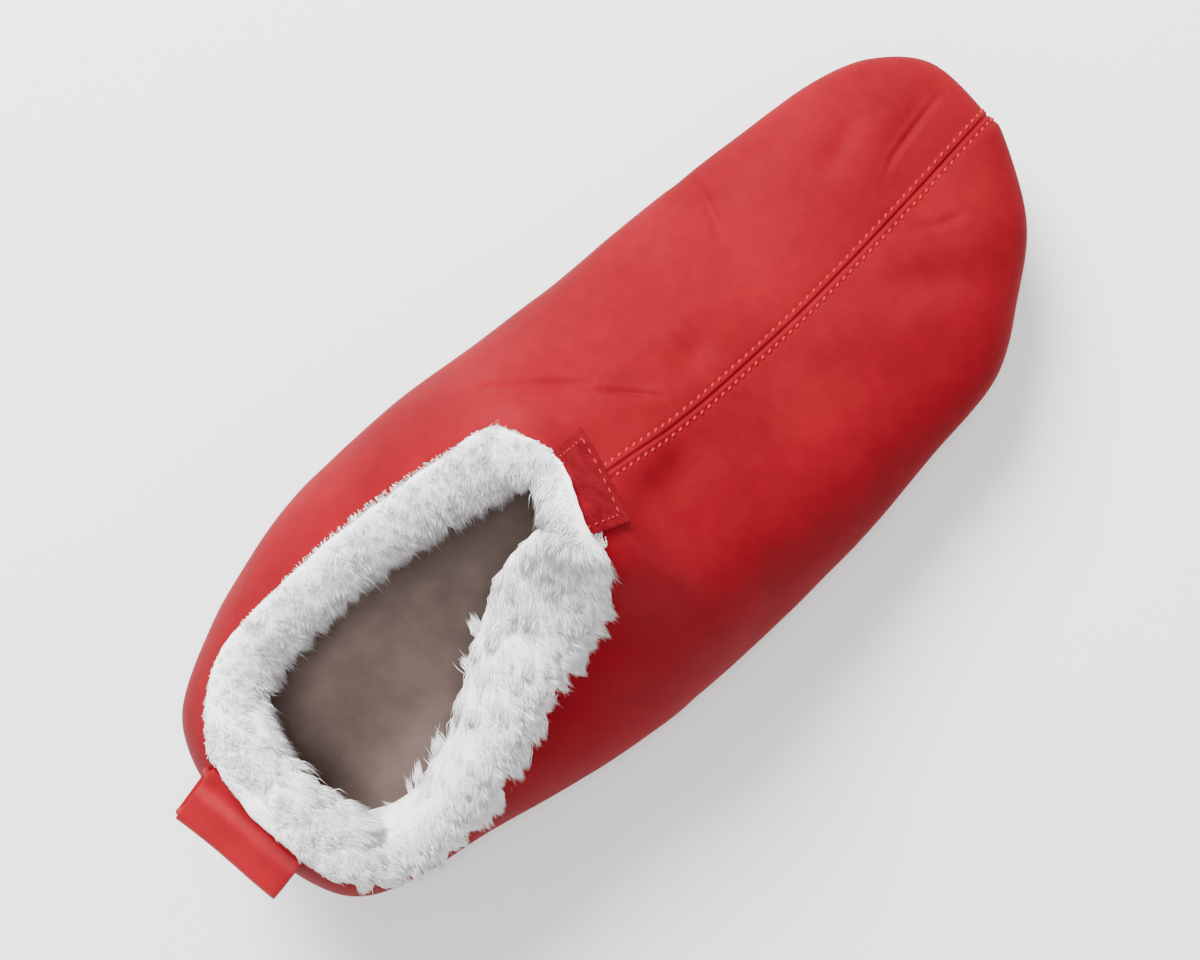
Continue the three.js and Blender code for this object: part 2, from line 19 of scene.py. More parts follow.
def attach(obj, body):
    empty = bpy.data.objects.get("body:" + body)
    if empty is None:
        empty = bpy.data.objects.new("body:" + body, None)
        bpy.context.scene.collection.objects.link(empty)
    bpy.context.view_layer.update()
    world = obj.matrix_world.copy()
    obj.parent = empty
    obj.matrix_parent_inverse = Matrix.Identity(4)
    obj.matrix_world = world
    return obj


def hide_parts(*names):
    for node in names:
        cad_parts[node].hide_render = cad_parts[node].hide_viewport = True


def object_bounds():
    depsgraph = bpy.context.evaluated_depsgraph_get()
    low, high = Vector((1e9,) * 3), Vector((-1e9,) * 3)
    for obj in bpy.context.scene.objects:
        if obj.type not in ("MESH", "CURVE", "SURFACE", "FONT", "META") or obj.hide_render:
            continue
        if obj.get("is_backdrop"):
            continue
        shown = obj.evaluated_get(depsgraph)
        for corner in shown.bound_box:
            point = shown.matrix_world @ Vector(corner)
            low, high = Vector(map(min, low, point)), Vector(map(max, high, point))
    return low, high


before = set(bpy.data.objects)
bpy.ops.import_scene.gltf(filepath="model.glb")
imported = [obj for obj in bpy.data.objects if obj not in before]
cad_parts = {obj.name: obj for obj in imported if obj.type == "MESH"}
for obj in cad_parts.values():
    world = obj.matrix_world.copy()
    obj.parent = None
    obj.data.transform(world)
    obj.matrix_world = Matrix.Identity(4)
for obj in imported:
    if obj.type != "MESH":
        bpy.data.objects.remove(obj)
cad_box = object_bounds()
MM = 0.001  # shapes are worked out in millimetres and set down in metres
print("frame nodes:", ", ".join(sorted(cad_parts)))

# %% [markdown]
# ## The last
# A shoemaker starts from a last, and its shape is given by cross sections. Each section here is a
# half: from the middle of the sole out to the widest line, and back up to the top line. A smooth
# curve runs through each column of the table, so a section can be asked for anywhere.

# %% Sizes of the body and its cross sections
BODY_LENGTH, BODY_WIDTH, THROAT_HEIGHT = 272.5, 111.0, 99.0
FLANK_HEIGHT, SEAM_HEIGHT, TUCK_DEPTH, CONTACT_INSET = 30.0, 24.0, 6.0, 17.0
UPPER_WALL, SOLE_WALL, CLEARANCE = 2.0, 2.6, 0.3
HEEL_BACK = -BODY_LENGTH / 2
PULLED_UP = (0.2, 0.8)  # shares of a section's reach between which the throat's lift fades
FALL_FADES = (80, 104)  # between these places the top line's fall goes on into the toe

SECTION_COLUMNS = [
    "at", "ridge_at", "left", "right", "widest", "seam", "tuck", "contact", "fullness"]
SECTIONS = [
    [0, 0.132, 0, 0, 1, 0.67, 0.55, 0.85, 2.1],
    [0.004, 0.14, 0.18, 0.172, 1, 0.67, 0.55, 0.85, 2.1],
    [0.028, 0.157, 0.306, 0.302, 1, 0.66, 0.57, 0.87, 2.1],
    [0.085, 0.186, 0.393, 0.365, 1, 0.64, 0.62, 0.9, 2.05],
    [0.16, 0.228, 0.457, 0.405, 1, 0.6, 0.7, 0.95, 2],
    [0.26, 0.297, 0.501, 0.467, 1, 0.58, 0.8, 1.02, 2],
    [0.37, 0.38, 0.494, 0.512, 1, 0.58, 0.9, 1.06, 1.95],
    [0.49, 0.49, 0.458, 0.523, 0.98, 0.59, 0.96, 1.04, 1.85],
    [0.61, 0.603, 0.429, 0.521, 0.96, 0.6, 1, 1, 1.9],
    [0.72, 0.7, 0.411, 0.496, 0.94, 0.62, 1, 1, 2],
    [0.823, 0.78, 0.381, 0.465, 0.92, 0.63, 1, 1.06, 2.1],
    [0.9, 0.83, 0.35, 0.354, 0.91, 0.65, 0.95, 1.2, 2.15],
    [0.9555, 0.862, 0.2935, 0.238, 0.92, 0.73, 0.75, 1.32, 2.2],
    [0.995, 0.882, 0.182, 0.06, 0.94, 0.9, 0.4, 1.36, 2.2],
    [0.9982, 0.895, 0.004, -0.004, 0.95, 1, 0.2, 1.36, 2.2],
]
RIDGE_COLUMNS = ["at", "x", "z", "sides"]
RIDGE = np.array([
    [0.132, 0, 0.78, 0.78],
    [0.206, 0, 0.745, 0.745],
    [0.279, 0, 0.737, 0.737],
    [0.334, 0, 0.757, 0.757],
    [0.385, -0.004, 0.82, 0.8],
    [0.418, -0.008, 0.905, 0.83],
    [0.445, -0.01, 1, 0.845],
    [0.466, -0.008, 0.975, 0.84],
    [0.492, 0, 0.813, 0.8],
    [0.516, 0.008, 0.752, 0.752],
    [0.565, 0.024, 0.675, 0.675],
    [0.62, 0.032, 0.606, 0.606],
    [0.712, 0.034, 0.511, 0.511],
    [0.785, 0.029, 0.473, 0.473],
    [0.855, 0.02, 0.434, 0.434],
    [0.895, 0.0135, 0.404, 0.404],
])
MOUTH_LENGTH, MOUTH_WIDTH, COLLAR_LEAN = 117.5, 70.0, 11.5
MOUTH_BACK = HEEL_BACK + COLLAR_LEAN
FLEECE_REACH, FLEECE_SPILL, FLEECE_PILE, FLEECE_DEPTH = 18.0, 13.0, 6.0, 9.0
MOUTH_COLUMNS = ["at", "left", "right", "left_in", "right_in", "left_out", "right_out"]
MOUTH = [
    [0, 0, 0, 0.75, 0.75, 0.14, 0.14],
    [0.017, 0.214, 0.28, 0.72, 0.78, 0.14, 0.2],
    [0.08, 0.393, 0.437, 0.6, 0.8, 0.14, 0.42],
    [0.18, 0.5, 0.497, 0.56, 0.74, 0.14, 0.46],
    [0.31, 0.518, 0.483, 0.54, 0.64, 0.14, 0.62],
    [0.465, 0.508, 0.407, 0.52, 0.64, 0.14, 0.72],
    [0.62, 0.48, 0.317, 0.54, 0.84, 0.14, 0.84],
    [0.775, 0.437, 0.243, 0.58, 1, 0.14, 0.92],
    [0.89, 0.398, 0.178, 0.64, 0.84, 0.14, 0.6],
    [0.945, 0.352, 0.108, 0.56, 0.5, 0.08, -0.05],
    [1, 0.143, -0.143, 0.45, 0.45, -0.05, -0.05],
]


# %% Curves through the tables
def smoothstep(x, low, high):
    t = np.clip((x - low) / (high - low), 0, 1)
    return t * t * (3 - 2 * t)


def lengths_along(line):
    """Length of a line up to each of its points."""
    return np.concatenate([[0], np.cumsum(np.linalg.norm(np.diff(line, axis=0), axis=1))])


def unit(vectors):
    return vectors / (np.linalg.norm(vectors, axis=-1, keepdims=True) + 1e-9)


def cells(table, columns, name, side):
    """A column for one side of the foot, with a row more at each end from the other side."""
    def cell(row, side):
        here = "left" if side < 0 else "right"
        title = {"side": here, "in": here + "_in", "out": here + "_out"}.get(name, name)
        return row[columns.index(title)] * (side if name == "side" else 1)

    inner = [cell(row, side) for row in table]
    ends = [cell(table[1], -side), cell(table[-2], -side)]
    if name == "ridge_at":
        ends = [2 * inner[0] - ends[0], 2 * inner[-1] - ends[1]]
    return [ends[0], *inner, ends[1]]


def columns_of(table, columns, names):
    return {name: np.array([cells(table, columns, name, side) for side in (-1, 1)], float)
            for name in names}


SECTION_CELLS = columns_of(SECTIONS, SECTION_COLUMNS, [
    "at", "ridge_at", "side", "widest", "seam", "tuck", "contact", "fullness"])
MOUTH_CELLS = columns_of(MOUTH, MOUTH_COLUMNS, ["at", "side", "in", "out"])
LAST_ROW, MOUTH_END = len(SECTIONS) - 1, len(MOUTH) - 1


def bent(a, b, c, d, t):
    """A smooth curve through four values, from the second to the third."""
    return b + 0.5 * t * (c - a + t * (2 * a - 5 * b + 4 * c - d + t * (3 * (b - c) + d - a)))


def along(values, side, s):
    """A smooth curve through one column at place s, which counts the rows. Side is -1 or 1."""
    k = (np.asarray(side) > 0).astype(int)
    i = np.minimum(np.floor(s).astype(int), values.shape[1] - 4)
    return bent(*(values[k, i + n] for n in range(4)), s - i)


def ridge_line(name, at):
    """The top line at a share of the body's length, and its slope. It never overshoots its rows."""
    xs, ys = RIDGE[:, 0], RIDGE[:, RIDGE_COLUMNS.index(name)]
    rise = np.diff(ys) / np.diff(xs)
    product, total = rise[:-1] * rise[1:], rise[:-1] + rise[1:]
    middle = np.where(product > 0, 2 * product / np.where(product > 0, total, 1), 0)
    slopes = np.concatenate([rise[:1], middle, rise[-1:]])
    at = np.clip(at, xs[0], xs[-1])
    i = np.clip(np.searchsorted(xs, at) - 1, 0, len(xs) - 2)
    span = xs[i + 1] - xs[i]
    t, y0, y1 = (at - xs[i]) / span, ys[i], ys[i + 1]
    m0, m1 = slopes[i] * span, slopes[i + 1] * span
    bend, twist = 3 * (y1 - y0) - 2 * m0 - m1, 2 * (y0 - y1) + m0 + m1
    return y0 + t * (m0 + t * (bend + t * twist)), (m0 + t * (2 * bend + 3 * t * twist)) / span

# %% Half sections
def half_sections(side, s, inset):
    """Half sections at the places s, moved inwards by inset."""
    read = {n: along(v, side, s) for n, v in SECTION_CELLS.items()}
    top, slope = ridge_line("z", read["ridge_at"])
    base_x = ridge_line("x", read["ridge_at"])[0] * BODY_WIDTH
    base_y = HEEL_BACK + read["ridge_at"] * BODY_LENGTH
    out_x = read["side"] * BODY_WIDTH - base_x
    out_y = HEEL_BACK + read["at"] * BODY_LENGTH - base_y
    fall = slope * THROAT_HEIGHT / BODY_LENGTH * out_y * smoothstep(base_y, *FALL_FADES)
    return {
        "inset": inset, "x": base_x, "y": base_y, "out_x": out_x, "out_y": out_y,
        "reach": np.hypot(out_x, out_y), "fall": fall,
        "top": top * THROAT_HEIGHT - inset * np.hypot(1, slope * THROAT_HEIGHT / BODY_LENGTH),
        "sides": ridge_line("sides", read["ridge_at"])[0] * THROAT_HEIGHT - inset,
        "widest": read["widest"] * FLANK_HEIGHT, "seam": read["seam"] * SEAM_HEIGHT,
        "tuck": read["tuck"] * TUCK_DEPTH, "contact": read["contact"] * CONTACT_INSET,
        "fullness": read["fullness"],
    }


def on_section(h, distance_in, z):
    """A point at a distance in from a section's widest place, and at a height."""
    share = 1 - distance_in / h["reach"]
    z = z + np.zeros_like(share)
    return np.stack([h["x"] + h["out_x"] * share, h["y"] + h["out_y"] * share, z], -1)


def roof_height(h, share):
    """Height where this share of the way from the top line out to the widest place is gone."""
    share = np.clip(share, 0, 1)
    rise = (1 - share ** h["fullness"]) ** (1 / h["fullness"])
    top = h["top"] + (h["sides"] - h["top"]) * smoothstep(share, *PULLED_UP)
    return h["widest"] + (top - h["widest"]) * rise + h["fall"] * share * (1 - share) ** 2


def roof_point(h, share):
    return on_section(h, h["reach"] - (h["reach"] - h["inset"]) * share, roof_height(h, share))


def height_over(x, y, inset):
    """Height of the body over places seen from above. The section through each is searched for."""
    side = np.where(x < ridge_line("x", (y - HEEL_BACK) / BODY_LENGTH)[0] * BODY_WIDTH, -1, 1)
    low, high = np.zeros_like(x), np.full_like(x, LAST_ROW)
    for _ in range(26):
        s = (low + high) / 2
        h = half_sections(side, s, inset)
        ahead = side * (h["out_x"] * (y - h["y"]) - h["out_y"] * (x - h["x"])) > 0
        low, high = np.where(ahead, s, low), np.where(ahead, high, s)
    h = half_sections(side, (low + high) / 2, inset)
    return roof_height(h, np.hypot(x - h["x"], y - h["y"]) / (h["reach"] - inset))


throat = height_over(np.array([-1.0]), np.array([-15.0]), 0)[0]
print("throat stands at", round(float(throat), 1), "mm")


# %% The mouth's edge
def mouth_points(side, s):
    """Points of the mouth's edge, the direction out of the mouth, and how far the pile goes."""
    def plan(place):
        across = along(MOUTH_CELLS["side"], side, place) * MOUTH_WIDTH
        ahead = along(MOUTH_CELLS["at"], side, place) * MOUTH_LENGTH
        return np.stack([across, MOUTH_BACK + ahead], -1)

    step = 0.01
    tangent = plan(np.minimum(s + step, MOUTH_END)) - plan(np.maximum(s - step, 0))
    out = np.stack([-tangent[:, 1], tangent[:, 0]], -1) * -np.asarray(side)[:, None]
    out[s == 0], out[s == MOUTH_END] = (0, -1), (0, 1)
    return (plan(s), unit(out), along(MOUTH_CELLS["in"], side, s) * FLEECE_REACH,
            along(MOUTH_CELLS["out"], side, s) * FLEECE_SPILL)


def even_places(plan_of, last, count):
    """Places from 0 to last that lie at even distances along a curve."""
    fine = np.linspace(0, last, 2001)
    length = lengths_along(plan_of(fine))
    return np.interp(np.linspace(0, length[-1], count), length, fine)


def mouth_ring(count):
    """The mouth's edge at even distances: up the left side and back down the right."""
    left, right = (even_places(lambda s: mouth_points(np.full(len(s), side), s)[0],
                               MOUTH_END, count // 2 + 1) for side in (-1, 1))
    side = np.concatenate([np.full(len(left), -1), np.full(len(right) - 2, 1)])
    return mouth_points(side, np.concatenate([left, right[1:-1][::-1]]))


EDGE, _, _, EDGE_SPILL = mouth_ring(480)


def past_edge(x, y):
    """Distance from the mouth's edge, seen from above: more than nothing outside the mouth."""
    a, b = EDGE, np.roll(EDGE, -1, axis=0)
    p = np.stack([x, y], -1)[:, None, :]
    run = b - a
    t = np.clip(((p - a) * run).sum(-1) / (run * run).sum(-1), 0, 1)
    nearest = a + run * t[..., None]
    distance = np.linalg.norm(p - nearest, axis=-1)
    crosses = (a[:, 1] > p[..., 1]) != (b[:, 1] > p[..., 1])
    at = a[:, 0] + run[:, 0] * (p[..., 1] - a[:, 1]) / np.where(run[:, 1] == 0, 1, run[:, 1])
    inside = (crosses & (p[..., 0] < at)).sum(-1) % 2 == 1
    best = distance.argmin(-1)
    every = np.arange(len(x))
    return np.where(inside, -1, 1) * distance[every, best], nearest[every, best], best


print("mouth edge is", round(float(lengths_along(EDGE)[-1])), "mm long")

# %% [markdown]
# ## Folds and dents
# Soft leather creases where it is pulled: beside the tab, over the toes and along the vamp. A
# sculptor would press them in by hand. Here each fold is a line on the last with a width and a
# depth, and the surface sinks along it, so the same folds come back on every run.

# %% Folds of the upper, in millimetres seen from above
FOLDS = [
    # points of the line, half width, depth
    ([(-38, -10), (-27, 3.3), (-19, 10.5)], 0.8, 0.75),
    ([(-20, 7.5), (-12.7, 14.3), (-4, 21)], 0.75, 0.75),
    ([(-33, -9), (-24, 4), (-16, 12)], 4.5, 1.5),
    ([(-18, 11), (-8, 19)], 2.6, 1.0),
    ([(-24, 33.5), (-16, 35), (-8, 35)], 1.3, 0.4),
    ([(-11, 28), (-8, 34), (-9, 40)], 4, 1.0),
    ([(-42, 66), (-34, 64.5), (-24, 60)], 1.4, 0.55),
    ([(-44, 58), (-38, 62), (-30, 63)], 6, 0.9),
    ([(-12.8, 129), (-11.4, 120), (-9.2, 108), (-7.2, 103)], 0.9, 0.42),
    ([(-14, 128), (-12.5, 118), (-10, 104)], 3.2, 0.6),
    ([(-24.5, 110), (-21.5, 102), (-18.5, 95)], 2.0, 0.35),
    ([(-26, 110), (-22, 100), (-18, 90)], 5.0, 0.7),
    ([(8, 99), (12, 104), (14.9, 112.5)], 1.3, 0.3),
    ([(12, 82), (24.3, 96), (31, 103)], 4.5, 0.9),
    ([(14, 54), (26, 60), (38, 70)], 7, 0.8),
    ([(10, -4), (11.5, 7), (10, 18)], 5.5, 2.0),
    ([(19, -8), (21, 4), (18, 18)], 9, 2.2),
    ([(-24, -2), (-21, 8)], 8, 0.6),
    ([(-50, -62), (-47, -48)], 6, 0.9),
    ([(48, -48), (46, -30)], 7, 1.0),
]
FINE_FOLD = 2.1  # folds of less than this half width need a finer mesh
LIP, LIP_AT = 0.35, 1.9  # beside a fold leather stands up: shares of its depth and half width
FOLD_END = 0.12  # share of a fold's depth that is left at its ends


def swell(distance, middle, width):
    """A smooth rise of 1 at a distance, which fades over the width."""
    return np.exp(-(((distance - middle) / width) ** 2))


def along_fold(line, x, y):
    """Distance of each place from a fold's line, and the share of the line that lies before it."""
    p = np.stack([x, y], -1)
    line = np.array(line, float)
    starts = lengths_along(line)
    best, place = np.full(len(x), 1e9), np.zeros(len(x))
    for a, b, start, length in zip(line[:-1], line[1:], starts, np.diff(starts)):
        t = np.clip(((p - a) @ (b - a)) / length**2, 0, 1)
        d = np.linalg.norm(p - (a + (b - a) * t[:, None]), axis=1)
        best, place = np.where(d < best, d, best), np.where(d < best, start + t * length, place)
    return best, place / starts[-1]


def fold_depth(points):
    """How far the roof of the upper or of its lining sinks at these points."""
    total = np.zeros(len(points))
    for line, width, depth in FOLDS:
        distance, share = along_fold(line, points[:, 0], points[:, 1])
        fade = FOLD_END + (1 - FOLD_END) * np.sin(np.pi * np.clip(share, 0, 1)) ** 0.7
        pressed = swell(distance, 0, width) - LIP * swell(distance, LIP_AT * width, width)
        total += depth * fade * pressed
    return total * smoothstep(points[:, 2], 20, 34)


def refined(bm):
    """Cuts the faces near fine folds smaller, and puts the new vertices back on the last."""
    points = coordinates(bm)
    near = np.zeros(len(points), bool)
    for line, width, _ in FOLDS:
        if width < FINE_FOLD:
            near |= along_fold(line, points[:, 0], points[:, 1])[0] < 2.5 * width + 0.8
    near &= points[:, 2] > FLANK_HEIGHT + 2
    edges = {e for v, n in zip(bm.verts, near) if n for e in v.link_edges}
    bmesh.ops.subdivide_edges(bm, edges=list(edges), cuts=2, use_grid_fill=True)
    points = coordinates(bm)
    roof = points[:, 2] > FLANK_HEIGHT + 4
    heights = height_over(points[roof, 0], points[roof, 1], 0)
    for v, z in zip([v for v, r in zip(bm.verts, roof) if r], heights):
        v.co.z = z * MM


def softness(points, size, height, seed):
    """Low waves of hand-lasted leather, from smooth noise of that size in millimetres."""
    return height * np.array([noise.noise(Vector(p) / size + Vector((seed, 0, 0))) for p in points])


# %% [markdown]
# ## Ring meshes
# Upper, sole, lining and insole are all rings of half sections. One grid from bmesh is bent into
# each: its columns go round the foot, its rows go up a section. The two sides share the top line,
# so merging doubles closes it.

# %% A grid bent into a ring
def ring_mesh(points, closed_rows=False):
    """A grid whose columns go round the foot. Closed rows make it a tube."""
    count, rows = points.shape[:2]
    up = rows if closed_rows else rows - 1

    def spot(u, v):
        i, j = np.rint(u * count).astype(int), np.rint(v * up).astype(int)
        return points[i % count, j % rows]

    bm = gridded(count, up, spot)
    bmesh.ops.remove_doubles(bm, verts=bm.verts, dist=2e-6)
    bmesh.ops.dissolve_degenerate(bm, edges=bm.edges, dist=1e-6)
    bmesh.ops.recalc_face_normals(bm, faces=bm.faces)
    return bm


def set_down(mesh, name, material):
    """The mesh as an object of the scene. A bmesh is turned into a mesh first."""
    if isinstance(mesh, bmesh.types.BMesh):
        bm, mesh = mesh, bpy.data.meshes.new(name)
        bm.to_mesh(mesh)
        bm.free()
    mesh.materials.append(material)
    piece = bpy.data.objects.new(name, mesh)
    bpy.context.scene.collection.objects.link(piece)
    return piece


def finished(mesh, name, material, replaced=()):
    """A smooth piece that rides on the frame."""
    piece = set_down(mesh, name, material)
    mesh = piece.data
    mesh.polygons.foreach_set("use_smooth", np.ones(len(mesh.polygons), bool))
    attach(piece, "root")
    if replaced:
        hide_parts(*replaced)
    print(name, "has", len(mesh.polygons), "faces")
    return piece


ROUNDED = 0.35  # how far the cut edges of tab and loop are rounded


def walled(piece, thickness, edge=0.0):
    """Gives a shell its thickness inwards, and rounds its rim."""
    wall = piece.modifiers.new("wall", "SOLIDIFY")
    wall.thickness, wall.offset = thickness * MM, -1
    if edge:
        rim = piece.modifiers.new("rim", "BEVEL")
        rim.width, rim.segments, rim.limit_method = edge * MM, 2, "ANGLE"
        rim.angle_limit = math.radians(50)


def coordinates(bm):
    return np.array([v.co for v in bm.verts]) / MM


def gridded(across, along_it, spot):
    """A grid with its vertices put where a function of two shares, each from 0 to 1, says."""
    bm = bmesh.new()
    bmesh.ops.create_grid(bm, x_segments=across, y_segments=along_it, size=1)
    shares = (np.array([v.co[:2] for v in bm.verts]) + 1) / 2
    for v, place in zip(bm.verts, spot(*shares.T)):
        v.co = Vector(place) * MM
    bmesh.ops.recalc_face_normals(bm, faces=bm.faces)
    return bm


def pushed(bm, distance, upright=None):
    """Moves each vertex by its own distance in millimetres: along its normal, or more upright."""
    bm.normal_update()
    if upright is None:
        upright = np.zeros(len(distance))
    for v, d, share in zip(bm.verts, distance, upright):
        way = v.normal.lerp(Vector((0, 0, 1)), float(share)).normalized()
        v.co += way * float(d) * MM


# %% Places of the columns, at even distances round the foot
COLUMNS = 250  # on each side


def widest_line(side, s):
    """The widest line of the foot seen from above."""
    return on_section(half_sections(side + np.zeros(len(s)), s, 0), 0, 0)[:, :2]


even = even_places(lambda s: widest_line(1, s), LAST_ROW, COLUMNS + 1)
# the sections fan out round the toe, so more of them stand beside its seam
at_toe = [np.linspace(even[-2], even[-1], 6)[1:-1], (even[-5:-2] + even[-4:-1]) / 2]
PLACES = np.sort(np.concatenate([even, *at_toe]))
RING_SIDE = np.concatenate([np.full(len(PLACES), -1), np.full(len(PLACES) - 2, 1)])
RING_PLACE = np.concatenate([PLACES, PLACES[1:-1][::-1]])


def ring_sections(inset, every=1):
    """Half sections at the places of the ring, shaped so that rows of points can be asked for."""
    h = half_sections(RING_SIDE[::every], RING_PLACE[::every], inset)
    return {n: v if np.isscalar(v) else v[:, None] for n, v in h.items()}


outline = widest_line(RING_SIDE, RING_PLACE)
RING_LENGTH = lengths_along(outline)
print("the sole seam is about", round(float(RING_LENGTH[-1])), "mm long")

# %% [markdown]
# ## Colour and light on leather
# The upper is nubuck: leather sanded on the grain side. It has no gloss, a faint sheen at low
# angles and clouds of slightly lighter and darker red where the nap lies differently.

# %% Helpers for materials
def linear(hex_colour):
    """An sRGB hex colour as linear red, green, blue and alpha."""
    parts = [int(hex_colour[i:i + 2], 16) / 255 for i in (1, 3, 5)]
    return [p / 12.92 if p <= 0.04045 else ((p + 0.055) / 1.055) ** 2.4 for p in parts] + [1.0]


def add(tree, kind, inputs=None, **settings):
    """Adds a node. Settings name its properties or inputs. Inputs hold values or other outputs."""
    node = tree.nodes.new(kind)
    for key, value in settings.items():
        if hasattr(node, key):
            setattr(node, key, value)
        else:
            node.inputs[key.replace("_", " ")].default_value = value
    for key, value in (inputs or {}).items():
        if isinstance(value, bpy.types.NodeSocket):
            tree.links.new(node.inputs[key], value)
        else:
            node.inputs[key].default_value = value
    return node


def new_material(name, **values):
    """A material with its Principled shader, whose constant values are set on its sockets."""
    material = bpy.data.materials.new(name)
    material.use_nodes = True
    shader = material.node_tree.nodes["Principled BSDF"]
    for key, value in values.items():
        shader.inputs[key.replace("_", " ")].default_value = value
    return material, material.node_tree, shader


def per_metre(millimetres):
    """Scale of a pattern on coordinates in metres whose parts are that size."""
    return 1 / (millimetres * MM)


def dye(tree, shader, tone, stops):
    """Colours a finish by its tone. Each stop is a value of the tone and a hex colour."""
    band = add(tree, "ShaderNodeValToRGB", {"Fac": tone})
    elements = band.color_ramp.elements
    while len(elements) < len(stops):
        elements.new(0.5)
    for element, (place, colour) in zip(elements, stops):
        element.position, element.color = place, linear(colour)
    tree.links.new(shader.inputs["Base Color"], band.outputs["Color"])


def soft_finish(name, clouds, stops, relief, **values):
    """A finish with clouds of colour and a fine relief.

    Clouds: the share of a noise, its size in millimetres and its settings.
    Relief: a texture, its size in millimetres, its settings, the bump's strength and its depth.
    """
    material, tree, shader = new_material(name, **values)
    place = add(tree, "ShaderNodeTexCoord").outputs["Object"]
    tone, normal = 0.0, None
    for share, size, settings in clouds:
        cloud = add(
            tree, "ShaderNodeTexNoise", {"Vector": place}, Scale=per_metre(size), **settings)
        tone = add(tree, "ShaderNodeMath", {0: cloud.outputs["Fac"], 1: share, 2: tone},
                   operation="MULTIPLY_ADD").outputs[0]
    dye(tree, shader, tone, stops)
    for kind, size, settings, strength, depth in relief:
        pattern = add(
            tree, "ShaderNodeTex" + kind, {"Vector": place}, Scale=per_metre(size), **settings)
        height = {"Height": pattern.outputs["Fac" if kind == "Noise" else "Distance"]}
        under = {"Normal": normal} if normal else {}
        normal = add(tree, "ShaderNodeBump", {**height, **under},
                     Strength=strength, Distance=depth * MM).outputs["Normal"]
    tree.links.new(shader.inputs["Normal"], normal)
    return material


# %% Nubuck leather
def nubuck(name, shade, mid, light):
    """Sanded leather: cloudy, with a fine nap and a soft sheen."""
    return soft_finish(
        name,
        clouds=[(0.3, 5, {"Detail": 4.0, "Roughness": 0.62}), (0.7, 38, {"Detail": 3.0})],
        stops=[(0.36, shade), (0.5, mid), (0.66, light)],
        # pores, and a nap of 0.25 mm, which is too fine for the render, so it is drawn at 0.7 mm
        relief=[("Noise", 3.5, {"Detail": 3.0}, 0.1, 0.5),
                ("Noise", 0.7, {"Detail": 2.0}, 0.16, 0.15)],
        Roughness=0.66, IOR=1.48, Specular_IOR_Level=0.05,
        Sheen_Weight=0.02, Sheen_Roughness=0.4, Sheen_Tint=linear("#D02028"))


red_leather = nubuck("nubuck_red", "#6C0913", "#750A16", "#7F0C19")
sole_leather = nubuck("nubuck_sole", "#660812", "#700A15", "#7A0B18")

# %% [markdown]
# ## The upper
# Two halves meet in a seam down the vamp: sewn right sides together, turned, and stitched down
# on either side, which leaves a groove between two low welts. The grid has narrow rows beside
# that line so that the groove is real. Inside the mouth the faces go, and the rim slides onto
# the mouth's edge.

# %% Points of the upper
NEAR_SEAM = np.array([2.9, 2.3, 1.8, 1.4, 1.0, 0.7, 0.42, 0.2, 0])  # distances from the top line
ROOF_ROWS, FLANK_ROWS = 36, 12
SEAM_TUCK = 1.5  # how far both edges draw in at the sole seam
PUCKER = 0.55  # about the height of the waves in the sole seam
THROAT_FRONT = 0.47  # share of the length at which the vamp seam starts
# groove, welt and the furrow of the stitches: height, distance from the seam, width
SEAM_PROFILE = [(-0.38, 0, 0.36), (0.2, 0.95, 0.5), (-0.16, 1.75, 0.4)]


def pucker():
    """The sole seam is sewn by hand, so its edge waves a little, most of all round the toe."""
    toe = smoothstep(outline[:, 1], 40, 120)
    wave = np.sin(RING_LENGTH / 7.3 * 2 * np.pi / 1.7) * 0.5 + np.sin(RING_LENGTH / 4.1 + 1.3)
    slow = np.sin(RING_LENGTH / 15.5 + 0.4) * 1.3
    return PUCKER * (0.35 + 0.65 * toe) * (wave + slow) / 2


def roof_shares(h, rows):
    near = NEAR_SEAM / h["reach"]
    start = 2 / np.pi * np.arccos(near[:, :1] ** (h["fullness"] / 2))
    t = start * np.linspace(0, 1, rows + 1)[None, :-1]
    return np.concatenate([np.cos(t * np.pi / 2) ** (2 / h["fullness"]), near], axis=1)


def flank_points(h, rows, lowest=1.0):
    down = np.linspace(lowest, 0, rows + 1)[None, :-1]
    roll = SEAM_TUCK * smoothstep(down, 0.72, 1) ** 2
    z = h["widest"] + (h["seam"] + CLEARANCE / 2 - h["widest"]) * down
    every = round(len(outline) / len(z))
    z = z + pucker()[::every, None] * smoothstep(down, 0.3, 1)
    return on_section(h, h["inset"] + h["tuck"] * down**2 + roll, z)


sections = ring_sections(0)
roof = roof_point(sections, roof_shares(sections, ROOF_ROWS))
upper_mesh = ring_mesh(np.concatenate([flank_points(sections, FLANK_ROWS), roof], axis=1))


# %% Opening the mouth, and pressing in the folds
def open_mouth(bm, margin=0.0):
    """Takes out the faces inside the mouth. Without a margin, the rim slides onto its edge."""
    points = coordinates(bm)
    past = past_edge(points[:, 0], points[:, 1])[0] - margin
    past[points[:, 2] <= FLANK_HEIGHT] = BODY_LENGTH  # only the roof is cut
    bm.verts.index_update()
    gone = [f for f in bm.faces if np.mean([past[v.index] for v in f.verts]) < 0]
    bmesh.ops.delete(bm, geom=gone, context="FACES")
    if margin:
        return
    rim = [v for v in bm.verts if v.is_boundary and v.co.z > FLANK_HEIGHT * MM]
    points = np.array([v.co for v in rim]) / MM
    for v, place in zip(rim, past_edge(points[:, 0], points[:, 1])[1]):
        v.co.x, v.co.y = place * MM


